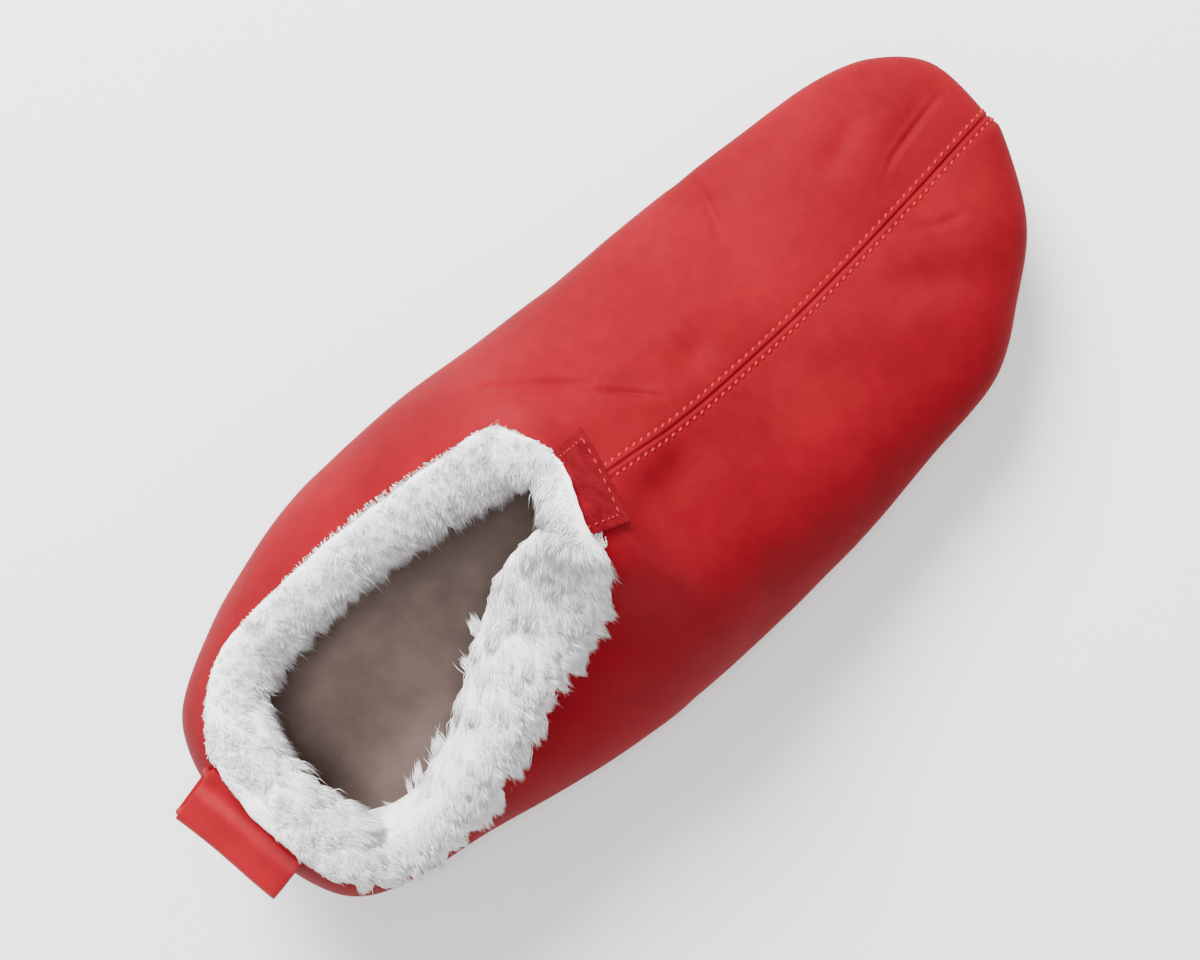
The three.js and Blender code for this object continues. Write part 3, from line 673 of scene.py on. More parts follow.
def seam_profile(points):
    """Height of the vamp seam's groove and welts at each point, from its distance to the line."""
    at = (points[:, 1] - HEEL_BACK) / BODY_LENGTH
    tip = half_sections(np.array([-1]), np.array([LAST_ROW]), 0)
    down_toe = np.clip((points[:, 1] - tip["y"]) / tip["out_y"], 0, 1)
    line = ridge_line("x", at)[0] * BODY_WIDTH + tip["out_x"] * down_toe
    d = np.abs(points[:, 0] - line)
    profile = sum(height * swell(d, middle, width) for height, middle, width in SEAM_PROFILE)
    return profile * smoothstep(at, THROAT_FRONT, THROAT_FRONT + 0.02)


refined(upper_mesh)
open_mouth(upper_mesh)
spots = coordinates(upper_mesh)
waves = softness(spots, 26, 0.8, 3.0) + softness(spots, 11, 0.22, 9.0)
waves *= 0.5 + 0.5 * smoothstep(spots[:, 2], 28, 40)
# the toe's sections meet at the end of the top line in very thin faces, whose normals are no guide
ridge_end = (RIDGE[-1, 1] * BODY_WIDTH, HEEL_BACK + RIDGE[-1, 0] * BODY_LENGTH)
from_end = np.linalg.norm(spots[:, :2] - ridge_end, axis=1)
seam = seam_profile(spots) * smoothstep(spots[:, 2], 15, 24)
pushed(upper_mesh, seam - fold_depth(spots) + waves, 1 - smoothstep(from_end, 3, 8))
upper_tree = BVHTree.FromBMesh(upper_mesh)
upper = finished(upper_mesh, "upper_leather", red_leather, ["upper"])
walled(upper, UPPER_WALL)

# %% [markdown]
# ## The sole
# The sole is the same leather, cut larger than the foot and cupped up to the seam, with no hard
# edge. Its grid starts at the middle of the floor and goes out and up.

# %% Points of the sole
FLOOR_ROWS, TURN_ROWS = 5, 14


def turn_points(h, rows):
    t = np.linspace(0, 1, rows + 1)[None, :]
    angle = (1 - t) * np.pi / 2
    roll = SEAM_TUCK * smoothstep(t, 0.72, 1) ** 2
    start, end = h["inset"] * 0.6 + h["contact"], h["inset"] + h["tuck"]
    top = h["seam"] - CLEARANCE / 2 + pucker()[:, None]
    z = top + (h["inset"] - top) * np.sin(angle)
    return on_section(h, start + (end - start) * np.cos(angle) + roll, z)


def floor_points(h, rows):
    t = np.linspace(0, 1, rows + 1)[None, :-1]
    end = h["inset"] * 0.6 + h["contact"]
    return on_section(h, h["reach"] + (end - h["reach"]) * t, h["inset"])


sole_mesh = ring_mesh(np.concatenate([
    floor_points(sections, FLOOR_ROWS), turn_points(sections, TURN_ROWS)], axis=1))
spots = coordinates(sole_mesh)
lifted = smoothstep(spots[:, 2], 2, 9)
pushed(sole_mesh, (softness(spots, 19, 0.7, 5.0) + softness(spots, 8, 0.25, 6.0)) * lifted)
walled(finished(sole_mesh, "sole_leather", sole_leather, ["sole"]), SOLE_WALL)

# %% [markdown]
# ## Lining and insole
# Inside, a taupe felted cloth covers the walls and the insole alike. The lining is one more ring,
# just inside the leather. The insole is a flat pad with a rounded edge.

# %% Felted cloth
# milled wool cloth: matt and soft-edged, with a faint fuzz
felt = soft_finish(
    "felted_lining_taupe", [(1.0, 24, {"Detail": 4.0, "Roughness": 0.6})],
    [(0.36, "#75645D"), (0.5, "#826F68"), (0.64, "#907C74")],
    [("Noise", 0.9, {"Detail": 3.0}, 0.35, 0.4)],
    Roughness=0.95, Specular_IOR_Level=0.15, Sheen_Weight=0.25, Sheen_Roughness=0.6)

# %% Insole and lining
INSOLE_TOP, INSOLE_EDGE = 7.4, 1.1
LINING_INSET, LINING_WALL = 3.0, 0.6


def inner_wall_points(h, heights):
    """Points of the inner wall of the cupped sole at given heights."""
    top = h["seam"] - CLEARANCE / 2
    drop = np.clip((top - heights) / (top - h["inset"]), 0, 1)
    start, end = h["inset"] * 0.6 + h["contact"], h["inset"] + h["tuck"]
    return on_section(h, start + (end - start) * np.sqrt(1 - drop**2), heights)


def pad_points(h):
    """The insole's half section: in along the floor, up the edge and back over the top."""
    floor, top = SOLE_WALL + CLEARANCE, INSOLE_TOP
    edge = inner_wall_points(h, np.array([[floor + 0.1, (floor + top) / 2, top - INSOLE_EDGE]]))
    middle = on_section(h, h["reach"], np.array([[top]]))
    rim, shares = edge[:, -1:], np.array([0.03, 0.12, 0.3, 0.6, 1.0])
    across = rim + (middle - rim) * shares[None, :, None]
    across[..., 2] = top - INSOLE_EDGE * (1 - np.sqrt(1 - (1 - np.clip(shares / 0.06, 0, 1)) ** 2))
    under = on_section(h, h["reach"], np.array([[floor + 0.1]]))
    return np.concatenate([under, edge, across], axis=1)


insole_mesh = ring_mesh(pad_points(ring_sections(SOLE_WALL + CLEARANCE, 3)))
finished(insole_mesh, "insole_felt", felt, ["insole"])

inner = ring_sections(LINING_INSET, 3)
heights = INSOLE_TOP + 0.15 + (inner["seam"] - INSOLE_TOP - 1.0) * np.linspace(0, 1, 7)[None, :]
lining_mesh = ring_mesh(np.concatenate([
    inner_wall_points(inner, heights), flank_points(inner, 6, 0.9),
    roof_point(inner, roof_shares(inner, 24))], axis=1))
open_mouth(lining_mesh, margin=1.5)
spots = coordinates(lining_mesh)
pushed(lining_mesh, softness(spots, 22, 1.0, 8.0) - 0.5 - 0.9 * np.maximum(fold_depth(spots), 0))
walled(finished(lining_mesh, "lining_cloth", felt), LINING_WALL)

# %% [markdown]
# ## The fleece collar: backing
# The collar is a strip of fleece, folded over the edge and sewn down inside. The skin under the
# wool is a tube round the mouth: its section follows the edge, reaches in over the mouth and
# spills out over the leather. On the left its outer rim is nearly bare, as if it were rolled.

# %% Points of the fleece's backing
FLEECE_COLUMNS, SMOOTH_STEPS = 360, 3
INSIDE = [(0.45, 1.9), (0.92, 1.15), (1, 0.42), (0.72, -0.2), (0.34, -0.55)]
OUTSIDE = [(0.45, 0.72), (0.9, 0.34)]
SPILL_OF_WOOL = 0.42  # on the right the skin ends early, and only locks reach the full width
JOIN = (np.array([-9.0, -110.0]), np.array([9.0, -121.0]))  # where the strip's ends butt together

edge_at, edge_out, reach_in, spill = mouth_ring(FLEECE_COLUMNS)
spill -= SPILL_OF_WOOL * np.maximum(spill - 2, 0)
# above the loop the leather's edge shows
beside_loop = smoothstep(-np.abs(edge_at[:, 0] - 1), -19, -15)
spill -= 1.3 * smoothstep(-edge_out[:, 1], 0.7, 0.85) * beside_loop
edge_height = height_over(*edge_at.T, 0)


def beyond(offset, inset):
    """Height of the leather at an offset past the mouth's edge."""
    return height_over(*(edge_at + edge_out * offset[:, None]).T, inset)


def section_spot(offset, z):
    return np.concatenate([edge_at + edge_out * offset[:, None], z[:, None]], axis=1)


foot = np.full(len(edge_at), FLEECE_DEPTH)
for step in np.linspace(1, 0, 21):
    trial = np.full(len(edge_at), FLEECE_DEPTH * step)
    foot = np.where(edge_height - beyond(trial, UPPER_WALL) >= FLEECE_DEPTH, trial, foot)
out = np.maximum(spill, 0.3)
corners = [section_spot(foot, beyond(foot, UPPER_WALL / 2)),
           section_spot(foot * 0.8, beyond(foot, UPPER_WALL) - FLEECE_PILE / 2)]
corners += [section_spot(-reach_in * reach, edge_height - FLEECE_PILE * drop)
            for reach, drop in INSIDE]
for share, thick in OUTSIDE:
    over = np.where(spill > 0, beyond(spill * share, 0), edge_height)
    corners.append(section_spot(spill * share, over + FLEECE_PILE * thick))
corners.append(section_spot(out, beyond(out, UPPER_WALL / 2)))
corners = np.stack(corners, axis=1)


def smooth_loop(points, steps):
    """Rounds a closed polygon of points per column with a curve through them."""
    near = [np.roll(points, -k, axis=1) for k in (-1, 0, 1, 2)]
    made = [bent(*near, t) for t in np.arange(steps) / steps]
    return np.stack(made, axis=2).reshape(len(points), -1, 3)


skin = smooth_loop(corners, SMOOTH_STEPS)
ROWS = skin.shape[1]


def join_gap(x, y):
    """Distance from the line where the ends of the strip meet."""
    half = np.linalg.norm(JOIN[1] - JOIN[0]) / 2
    run = unit(JOIN[1] - JOIN[0])
    offset = np.stack([x, y], -1) - JOIN[0]
    beyond_ends = np.maximum(np.abs(offset @ run - half) - half, 0)
    return np.abs(offset[..., 0] * run[1] - offset[..., 1] * run[0]) + beyond_ends


# %% Fleece materials
def wool(name, root, tip):
    """Scoured lamb's wool: white, matt and slightly see-through, with painted shade that greys it
    down among the roots.
    """
    material, tree, shader = new_material(
        name, Roughness=0.9, Specular_IOR_Level=0.15, Sheen_Weight=0.4, Sheen_Roughness=0.7,
        Subsurface_Weight=0.6, Subsurface_Scale=0.4 * MM, Subsurface_Radius=(1, 1, 1))
    place = add(tree, "ShaderNodeUVMap", uv_map="strand")
    spot = add(tree, "ShaderNodeSeparateXYZ", {"Vector": place.outputs["UV"]})
    # the tone follows the height on the strand as painted shade, greyer at the root, and differs a
    # little from strand to strand
    own = add(tree, "ShaderNodeMath", {0: spot.outputs["X"], 1: 0.2}, operation="MULTIPLY")
    tone = add(tree, "ShaderNodeMath", {0: spot.outputs["Y"], 1: 0.8, 2: own.outputs[0]},
               operation="MULTIPLY_ADD")
    dye(tree, shader, tone.outputs[0], [(0.0, root), (0.55, tip)])
    return material


# the first colour is painted shade at the strands' roots, the second the wool's own white at the
# tips
fleece_wool = wool("lambs_wool_white", "#F4EFF0", "#FFFEFE")
# the tight base of the wool, seen between the strands
fleece_base = soft_finish(
    "lambs_wool_base", [(1.0, 2.2, {"Detail": 4.0})], [(0.35, "#F0EAEC"), (0.62, "#FDFBFB")],
    [("Noise", 2.2, {"Detail": 4.0}, 0.4, 0.5)], Roughness=0.95, Specular_IOR_Level=0.1)

# %% The backing as a mesh
backing_mesh = ring_mesh(skin, closed_rows=True)
spots = coordinates(backing_mesh)
tufts = softness(spots, 8, 0.8, 11.0) + softness(spots, 3, 0.3, 12.0)
parting = -1.3 * swell(join_gap(spots[:, 0], spots[:, 1]), 0, 0.9)
pushed(backing_mesh, tufts + parting)
finished(backing_mesh, "fleece_backing", fleece_base, ["fleece_collar"])

# %% [markdown]
# ## The fleece collar: wool
# Wool grows in locks: strands lean together and their tips meet. A particle system would scatter
# them, but joined meshes export as they are. Each strand is a bent three-sided spike. Its root is
# drawn at random on the backing, its tip is pulled towards the tip of its lock, and all locks
# lean to the wearer's right, so that they fall into the mouth on the left and over the leather
# on the right.

# %% Roots of the strands
STRANDS, LOCKS = 17500, 1150  # strands of each of four pieces, and locks in all
STRAND_STEPS = np.array([0.0, 0.5, 1.0])
STRAND_WIDTH, STRAND_WIDTHS = 0.115, np.array([1.0, 0.8])
draw = np.random.default_rng(20)

around, upwards = np.roll(skin, -1, axis=0) - skin, np.roll(skin, -1, axis=1) - skin
tile_normal = np.cross(upwards, around)
tile_area = np.linalg.norm(tile_normal, axis=2)
outwards = ((skin - skin.mean(axis=1, keepdims=True)) * tile_normal).sum() > 0
tile_normal = unit(tile_normal) * (1 if outwards else -1)
shown_rows = np.zeros(ROWS)
shown_rows[SMOOTH_STEPS * 2 - 2:SMOOTH_STEPS * 9] = 1


def roots(count, weight):
    """Random roots on the backing: their columns, rows, places and normals."""
    chance = (tile_area * weight * shown_rows[None, :]).ravel()
    pick = draw.choice(chance.size, count, p=chance / chance.sum())
    i, j = np.divmod(pick, ROWS)
    u, v = draw.random((2, count))
    place = skin[i, j] + around[i, j] * u[:, None] + upwards[i, j] * v[:, None]
    return i, j + v, place, tile_normal[i, j]


# %% How the wool lies
LEAN = np.array([1.0, -0.22])
INSIDE_LENGTH, OUTSIDE_LENGTH = 6.6, 2.9
TUFT_AT, TUFT_WAY = (-25.0, -14.5), (-0.6, 0.77, 0.1)  # a tuft beside the throat points forward
SLICE = 20000  # places that are measured at once, so that they fit memory


def far_past_edge(points):
    """Distance past the mouth's edge, and how far the wool may go there."""
    past, limit = np.empty(len(points)), np.empty(len(points))
    for start in range(0, len(points), SLICE):
        part = slice(start, start + SLICE)
        past[part], _, best = past_edge(points[part, 0], points[part, 1])
        limit[part] = EDGE_SPILL[best]
    return past, limit


def within(root, tip, over):
    """The share of each strand or lock that stays inside the collar's outer edge."""
    (root_past, _), (tip_past, limit) = far_past_edge(root), far_past_edge(tip)
    share = (limit + over - root_past) / np.maximum(tip_past - root_past, 0.1)
    return np.where(tip_past > limit + over, np.clip(share, 0.25, 1), 1)


def lie_of_wool(column, row, normal, turn):
    """Direction in which wool at these roots lies, and its length in millimetres."""
    out = edge_out[column]
    right, left = smoothstep(out[:, 0], -0.1, 0.5), smoothstep(-out[:, 0], 0, 0.6)
    heel, throat = smoothstep(-out[:, 1], 0.55, 0.95), smoothstep(out[:, 1], 0.5, 0.9)
    outside = smoothstep((row / SMOOTH_STEPS - 2) / 5, 0.3, 0.85)  # 0 down inside, 1 on the leather
    angle = np.arctan2(LEAN[1], LEAN[0]) + turn
    lean = np.stack([np.cos(angle), np.sin(angle), np.zeros(len(angle))], -1)
    rim = outside * np.maximum(np.maximum(left, heel), throat)
    fall = np.zeros((len(out), 3))
    fall[:, 2] = -0.25 - 0.5 * left * (1 - outside) - 0.15 * right * outside
    raised = 0.3 - 0.1 * right * outside
    way = lean * (1.0 - 0.55 * rim)[:, None] + normal * raised[:, None] + fall
    way[:, :2] -= out * (0.75 * throat)[:, None]
    inner = INSIDE_LENGTH + 2.4 * right - 1.6 * throat
    outer = OUTSIDE_LENGTH + 3.4 * right * (1 - heel) * (1 - throat) - 1.2 * left - 0.9 * throat
    return unit(way), inner + (outer - inner) * outside


# %% The locks
lock_column, lock_row, lock_root, lock_normal = roots(LOCKS, np.ones(len(skin))[:, None])
lock_side = edge_out[lock_column, 0]
lock_back = -edge_out[lock_column, 1]
lock_turn = draw.normal(0, 0.3, LOCKS)
lock_over = draw.normal(-0.3, 1.5, LOCKS)  # how far past the collar's edge a lock may reach
lock_over[(lock_back > 0.75) & (np.abs(lock_root[:, 0] - 1) < 17)] -= 2.9  # above the loop
lock_over[(lock_back > 0.5) & (lock_root[:, 0] > 14)] += 1.5
lock_over[lock_side < -0.4] -= 0.9  # the rim on the left is rolled and even
# on the right single locks lie over the leather, with bays between them
spills = lock_side > 0.2
lock_over[spills] = np.where(draw.random(spills.sum()) < 0.4, draw.uniform(0.8, 3.0, spills.sum()),
                             draw.uniform(-3.5, -0.3, spills.sum()))
# some locks at the inner rim of the right side fall back into the mouth
falls_in = (lock_side > 0.3) & (lock_row / SMOOTH_STEPS < 3.6) & (draw.random(LOCKS) < 0.14)
lock_turn[falls_in] += np.pi * draw.uniform(0.75, 1.1, falls_in.sum())
lock_way, lock_length = lie_of_wool(lock_column, lock_row, lock_normal, lock_turn)
lock_length *= draw.uniform(0.75, 1.2, LOCKS) * np.where(falls_in, 0.6, 1)
tuft = np.linalg.norm(lock_root[:, :2] - TUFT_AT, axis=1) < 2.4
lock_way[tuft], lock_over[tuft] = TUFT_WAY, 2.6
lock_tip = lock_way * lock_length[:, None]
lock_tip = lock_root + lock_tip * within(lock_root, lock_root + lock_tip, lock_over)[:, None]
lock_tree = KDTree(LOCKS)
for n, spot in enumerate(lock_root):
    lock_tree.insert(Vector(spot), n)
lock_tree.balance()
print(LOCKS, "locks,", int(falls_in.sum()), "of them fall back into the mouth")


# %% Strands as meshes
def strand_lines(count, weight):
    """Lines of points for strands that are drawn into locks, and how far they may reach."""
    column, row, root, normal = roots(count, weight)
    lock = np.array([lock_tree.find(Vector(p))[1] for p in root])
    way, length = lie_of_wool(column, row, normal, lock_turn[lock] + draw.normal(0, 0.17, count))
    length = length * draw.uniform(0.65, 1.12, count) * np.where(falls_in[lock], 0.6, 1)
    stray = draw.random(count) < 0.03
    length[stray] *= 1.35
    pointed = (edge_out[column, 0] > 0.2) & (row / SMOOTH_STEPS > 6)
    loose = stray | (draw.random(count) < np.where(pointed, 0.22, 0.45))
    together = np.where(loose, draw.uniform(0.05, 0.4, count), draw.uniform(0.5, 0.92, count))
    tip = root + way * length[:, None]
    tip += (lock_tip[lock] - tip) * together[:, None]
    bend = root + (normal * 0.5 + way * 0.6) * (length * 0.45)[:, None]
    t = STRAND_STEPS[None, :, None]
    line = (1 - t) ** 2 * root[:, None] + 2 * t * (1 - t) * bend[:, None] + t**2 * tip[:, None]
    line += draw.normal(0, 0.3, line.shape) * np.sin(t * np.pi)
    line += draw.normal(0, 0.16, line.shape) * t
    # strands at the side of a lock end sooner, so that the lock comes to a point
    aside = np.linalg.norm(np.cross(root - lock_root[lock], lock_way[lock]), axis=1)
    return line, lock_over[lock] - 0.9 * aside * pointed


def above_leather(line, over):
    """Shortens what would reach past the collar's edge, and lifts what would sink in."""
    share = within(line[:, 0], line[:, -1], over + draw.uniform(-0.6, 0.9, len(line)))
    line = line[:, :1] + (line - line[:, :1]) * share[:, None, None]
    flat = line.reshape(-1, 3)
    near = far_past_edge(flat)[0] > -1.0
    floor = height_over(flat[near, 0], flat[near, 1], 0) + 0.35
    flat[near, 2] = np.maximum(flat[near, 2], floor)
    return flat.reshape(line.shape)


def strand_mesh(name, line):
    """Spikes of three sides along the lines, as one mesh with a map of root and tip."""
    count = len(line)
    width = STRAND_WIDTH * draw.uniform(0.8, 1.25, count)
    forward = unit(line[:, -1] - line[:, 0])
    across = unit(np.cross(forward, draw.normal(0, 1, (count, 3))))
    other = np.cross(forward, across)
    turns = (np.arange(3) * 2 * np.pi / 3)[None, :, None]
    ring = across[:, None] * np.cos(turns) + other[:, None] * np.sin(turns)
    rings = line[:, :2, None] + ring[:, None] * (width[:, None] * STRAND_WIDTHS)[:, :, None, None]
    points = np.concatenate([rings.reshape(count, 6, 3), line[:, -1:]], axis=1)
    sides = [[a, (a + 1) % 3, 3 + (a + 1) % 3, 3 + a] for a in range(3)]
    tips = [[3 + a, 3 + (a + 1) % 3, 6] for a in range(3)]
    faces = sides + tips + [[2, 1, 0]]
    pattern = np.array([corner for face in faces for corner in face])
    sizes = np.tile([len(face) for face in faces], count)
    mesh = bpy.data.meshes.new(name)
    mesh.vertices.add(count * 7)
    mesh.vertices.foreach_set("co", (points * MM).astype(np.float32).ravel())
    corners = (pattern[None, :] + np.arange(count)[:, None] * 7).ravel()
    mesh.loops.add(len(corners))
    mesh.loops.foreach_set("vertex_index", corners.astype(np.int32))
    mesh.polygons.add(len(sizes))
    starts = np.concatenate([[0], np.cumsum(sizes)[:-1]])
    mesh.polygons.foreach_set("loop_start", starts.astype(np.int32))
    heights = np.concatenate([np.repeat(STRAND_STEPS[:2], 3), [1.0]])
    tone = np.repeat(draw.random(count), len(pattern))
    uv = np.stack([tone, np.tile(heights[pattern], count)], -1)
    mesh.uv_layers.new(name="strand").data.foreach_set("uv", uv.astype(np.float32).ravel())
    mesh.update(calc_edges=True)
    return mesh


# %% Growing the wool
row_share = np.arange(ROWS) / SMOOTH_STEPS
everywhere, side_of = np.ones(ROWS), edge_out[:, 0]
rolled = 1 - 0.85 * smoothstep(row_share, 6.8, 7.8)  # the outer rim on the left is nearly bare
on_left, on_right = smoothstep(-side_of, -0.2, 0.4) + 0.05, smoothstep(side_of, -0.2, 0.4)
at_heel = 0.15 + smoothstep(-edge_out[:, 1], 0.4, 0.9)
REGIONS = {
    "fleece_pile_left": on_left[:, None] * rolled,
    "fleece_pile_right_in": on_right[:, None] * (row_share < 5.2),
    "fleece_pile_right_out": on_right[:, None] * (row_share >= 4.4),
    "fleece_pile_heel": at_heel[:, None] * everywhere,
}
parted = smoothstep(join_gap(skin[..., 0], skin[..., 1]), 0.3, 1.3)
for name, region in REGIONS.items():
    strands = above_leather(*strand_lines(STRANDS, region * parted))
    finished(strand_mesh(name, strands), name, fleece_wool)

# %% [markdown]
# ## Suede tab
# The tab is a small sheet of suede, folded over the throat and stitched down on three sides. A
# grid lies on the leather from its lower edge up to the collar, and its last rows bend over the
# edge and down inside.

# %% Suede
# split leather with a raised nap: matt, and lighter where the nap is brushed up
red_suede = soft_finish(
    "suede_red", [(1.0, 4, {"Detail": 5.0, "Roughness": 0.7})],
    [(0.36, "#560710"), (0.66, "#700C18")],
    [("Noise", 0.6, {"Detail": 3.0}, 0.5, 0.35)], Roughness=0.92, Specular_IOR_Level=0.05,
    Sheen_Weight=0.12, Sheen_Roughness=0.5, Sheen_Tint=linear("#D83038"))

# %% The tab's sheet
TAB_WIDTH, TAB_TOP_WIDTH, TAB_DROP, TAB_WALL = 25.5, 20.5, 8.2, 1.4
TAB_SKEW, TAB_FOLD_SKEW, TAB_BEHIND, TAB_MIDDLE, TAB_SHIFT = 0.235, 1.6, 3.2, -1.6, 1.6
TAB_ACROSS, TAB_UP, TAB_OVER = 26, 20, 8
TAB_CURL = 0.9  # its corner on the right lifts off the leather

throat_y = MOUTH_BACK + MOUTH_LENGTH
fold_y, low_y = throat_y - TAB_BEHIND - TAB_WALL / 2, throat_y - TAB_BEHIND + TAB_DROP
half_top, half_low = TAB_TOP_WIDTH / 2, TAB_WIDTH / 2
TOP_CORNERS = np.array([
    (TAB_MIDDLE - half_top, fold_y + TAB_SKEW * half_top),
    (TAB_MIDDLE + half_top, fold_y - TAB_SKEW * TAB_FOLD_SKEW * half_top)])
LOW_CORNERS = np.array([
    (TAB_MIDDLE + TAB_SHIFT - half_low, low_y + TAB_SKEW * half_low),
    (TAB_MIDDLE + TAB_SHIFT + half_low, low_y - TAB_SKEW * half_low)])


def tab_plan(u, v):
    """A place of the tab seen from above. v is 0 at the lower edge and 1 at the fold."""
    top = TOP_CORNERS[0] + (TOP_CORNERS[1] - TOP_CORNERS[0]) * u[:, None]
    low = LOW_CORNERS[0] + (LOW_CORNERS[1] - LOW_CORNERS[0]) * u[:, None]
    low[:, 1] += 0.5 * np.sin(u * np.pi * 1.3 + 0.4)  # the lower edge isn't cut quite straight
    return low + (top - low) * v[:, None]


def tab_point(u, v):
    """A point on top of the tab. Where it passes the collar's edge it bends over it and down."""
    flat = tab_plan(u, v)
    past, nearest, _ = past_edge(*flat.T)
    outside = past[:, None] >= 0
    over = np.maximum(-past, 0)
    curl = TAB_CURL * smoothstep(u, 0.72, 1) * smoothstep(-v, -0.35, 0)
    bend = TAB_WALL + CLEARANCE
    turn = np.minimum(over / bend, np.pi / 2)
    inward = (flat - nearest) / (np.abs(past)[:, None] + 1e-9)
    place = np.where(outside, flat, nearest + inward * (bend * np.sin(turn))[:, None])
    drop = bend * (1 - np.cos(turn)) + np.maximum(over - bend * np.pi / 2, 0)
    z = height_over(*np.where(outside, flat, nearest).T, 0) + CLEARANCE + TAB_WALL + curl - drop
    return np.concatenate([place, z[:, None]], axis=1)


tab_mesh = gridded(TAB_ACROSS, TAB_UP + TAB_OVER,
                   lambda u, v: tab_point(u, v * (TAB_UP + TAB_OVER) / TAB_UP))
if sum(f.normal.z for f in tab_mesh.faces) < 0:
    bmesh.ops.reverse_faces(tab_mesh, faces=tab_mesh.faces)
pushed(tab_mesh, softness(coordinates(tab_mesh), 6, 0.35, 21.0))
tab_tree = BVHTree.FromBMesh(tab_mesh)
walled(finished(tab_mesh, "tab_suede", red_suede, ["throat_tab"]), TAB_WALL, ROUNDED)

# %% [markdown]
# ## Stitches
# The thread is a little lighter than the leather, so every stitch shows as a short bright dash.
# Each one is a small stretched sphere that lies on the leather.
# They are placed on a line at the pitch that was counted on the shoe.

# %% Thread
# waxed polyester thread: smooth, with a small soft gloss
coral_thread = new_material(
    "sewing_thread_coral", Base_Color=linear("#9C1A1D"), Roughness=0.6, Specular_IOR_Level=0.15)[0]

# %% Rows of stitches
PITCH, ROW_OFFSET = 2.55, 1.7  # on the vamp, and how far each row lies from the seam
VAMP_STITCH, TAB_STITCH_WIDE, TAB_STITCH_HIGH = (1.6, 0.9, 0.75), 0.55, 0.5
TAB_INSET, TAB_INSET_SHARE = 2.4, 0.13  # from the tab's sides, and from its lower edge as a share


def evenly(line, pitch, start=0.0):
    """Points at even distances along a line, with the direction there."""
    lengths = lengths_along(line)
    at = np.arange(start, lengths[-1], pitch)

    def spot(d):
        return np.stack([np.interp(d, lengths, line[:, k]) for k in range(3)], -1)

    return spot(at), unit(spot(at + 0.4) - spot(at - 0.4))


def stitch_row(bm, tree, spots, ways, size, slant=0.0, lift=0.0):
    """Lays a stitch at each spot on the surface that the tree holds."""
    for spot, way in zip(spots, ways):
        place, normal, _, _ = tree.find_nearest(Vector(spot) * MM)
        forward = Vector(way) - normal * normal.dot(Vector(way))
        turn = Matrix.Rotation(slant + float(draw.normal(0, 0.05)), 3, normal)
        forward = (turn @ forward).normalized()
        across = normal.cross(forward)
        lie = Matrix([[forward[k], across[k], normal[k]] for k in range(3)]).to_4x4()
        scale = Matrix.Diagonal([x * MM / 2 for x in size] + [1])
        where = Matrix.Translation(place + normal * lift * MM) @ lie @ scale
        bmesh.ops.create_uvsphere(bm, u_segments=8, v_segments=6, radius=1, matrix=where)


def seam_line(sideways):
    """The vamp seam from the tab down the toe to the sole, moved sideways by a distance."""
    s = np.linspace(6.9, LAST_ROW, 160)
    h = half_sections(np.full(len(s), -1), s, 0)
    ridge = np.stack([h["x"], h["y"], h["top"]], -1)
    h = {n: v[-1:] if not np.isscalar(v) else v for n, v in h.items()}
    shares = np.linspace(0, 1, 40)[1:]
    face = on_section(h, h["reach"] * (1 - shares), roof_height(h, shares))
    line = np.concatenate([ridge, face])
    way = np.gradient(line, axis=0)
    return line + unit(np.stack([way[:, 1], -way[:, 0], np.zeros(len(way))], -1)) * sideways


vamp_mesh = bmesh.new()
for sideways, slant, start, beside_tab in (
        (-ROW_OFFSET, 0.45, 0.6, low_y + 0.655), (ROW_OFFSET, 0.4, 1.5, low_y + 0.145)):
    line = seam_line(sideways)
    stitch_row(vamp_mesh, upper_tree, *evenly(line[line[:, 1] > beside_tab], PITCH, start),
               size=VAMP_STITCH, slant=slant, lift=0.05)
finished(vamp_mesh, "vamp_stitches", coral_thread)

tab_stitch_mesh = bmesh.new()
side = TAB_INSET / TAB_WIDTH
down, across = np.linspace(0.98, TAB_INSET_SHARE, 30), np.linspace(side, 1 - side, 40)
for u, v, pitch, length in (
        (np.full(30, side), down, 2.3, 1.0), (across, np.full(40, TAB_INSET_SHARE), 3.1, 1.8),
        (np.full(30, 1 - side), down, 2.0, 1.0)):
    stitch_row(tab_stitch_mesh, tab_tree, *evenly(tab_point(u, v), pitch, 1.0),
               size=(length, TAB_STITCH_WIDE, TAB_STITCH_HIGH))
finished(tab_stitch_mesh, "tab_stitches", coral_thread)

# %% [markdown]
# ## Heel loop
# A strip of smooth leather is folded double, its fold away from the heel, and its ends are sewn
# in under the collar. A short profile is spun round the fold, and the wall comes from a modifier.

# %% Smooth leather of the loop
# smooth grain leather: a tight surface with a soft gloss
loop_leather = soft_finish(
    "grain_leather_red", [(1.0, 12, {"Detail": 3.0})], [(0.38, "#8A0E1A"), (0.62, "#980F1E")],
    [("Voronoi", 0.8, {}, 0.06, 0.1)], Roughness=0.5, IOR=1.48, Specular_IOR_Level=0.15)

# %% The folded strip
LOOP_WIDTH, LOOP_REACH, LOOP_HEIGHT, LOOP_WALL = 32.5, 12.5, 6.0, 1.3
LOOP_SKEW, LOOP_DROOP, LOOP_CENTRE, LOOP_DROP = 0.12, 0.5, 1.8, 12.0
LOOP_ROOT, LOOP_DIP = 6.0, 2.6  # what goes in under the collar, and how far its top dips there
LOOP_ACROSS = 22

radius = LOOP_HEIGHT / 2
collar_height = float(height_over(np.array([0.0]), np.array([MOUTH_BACK]), 0)[0])


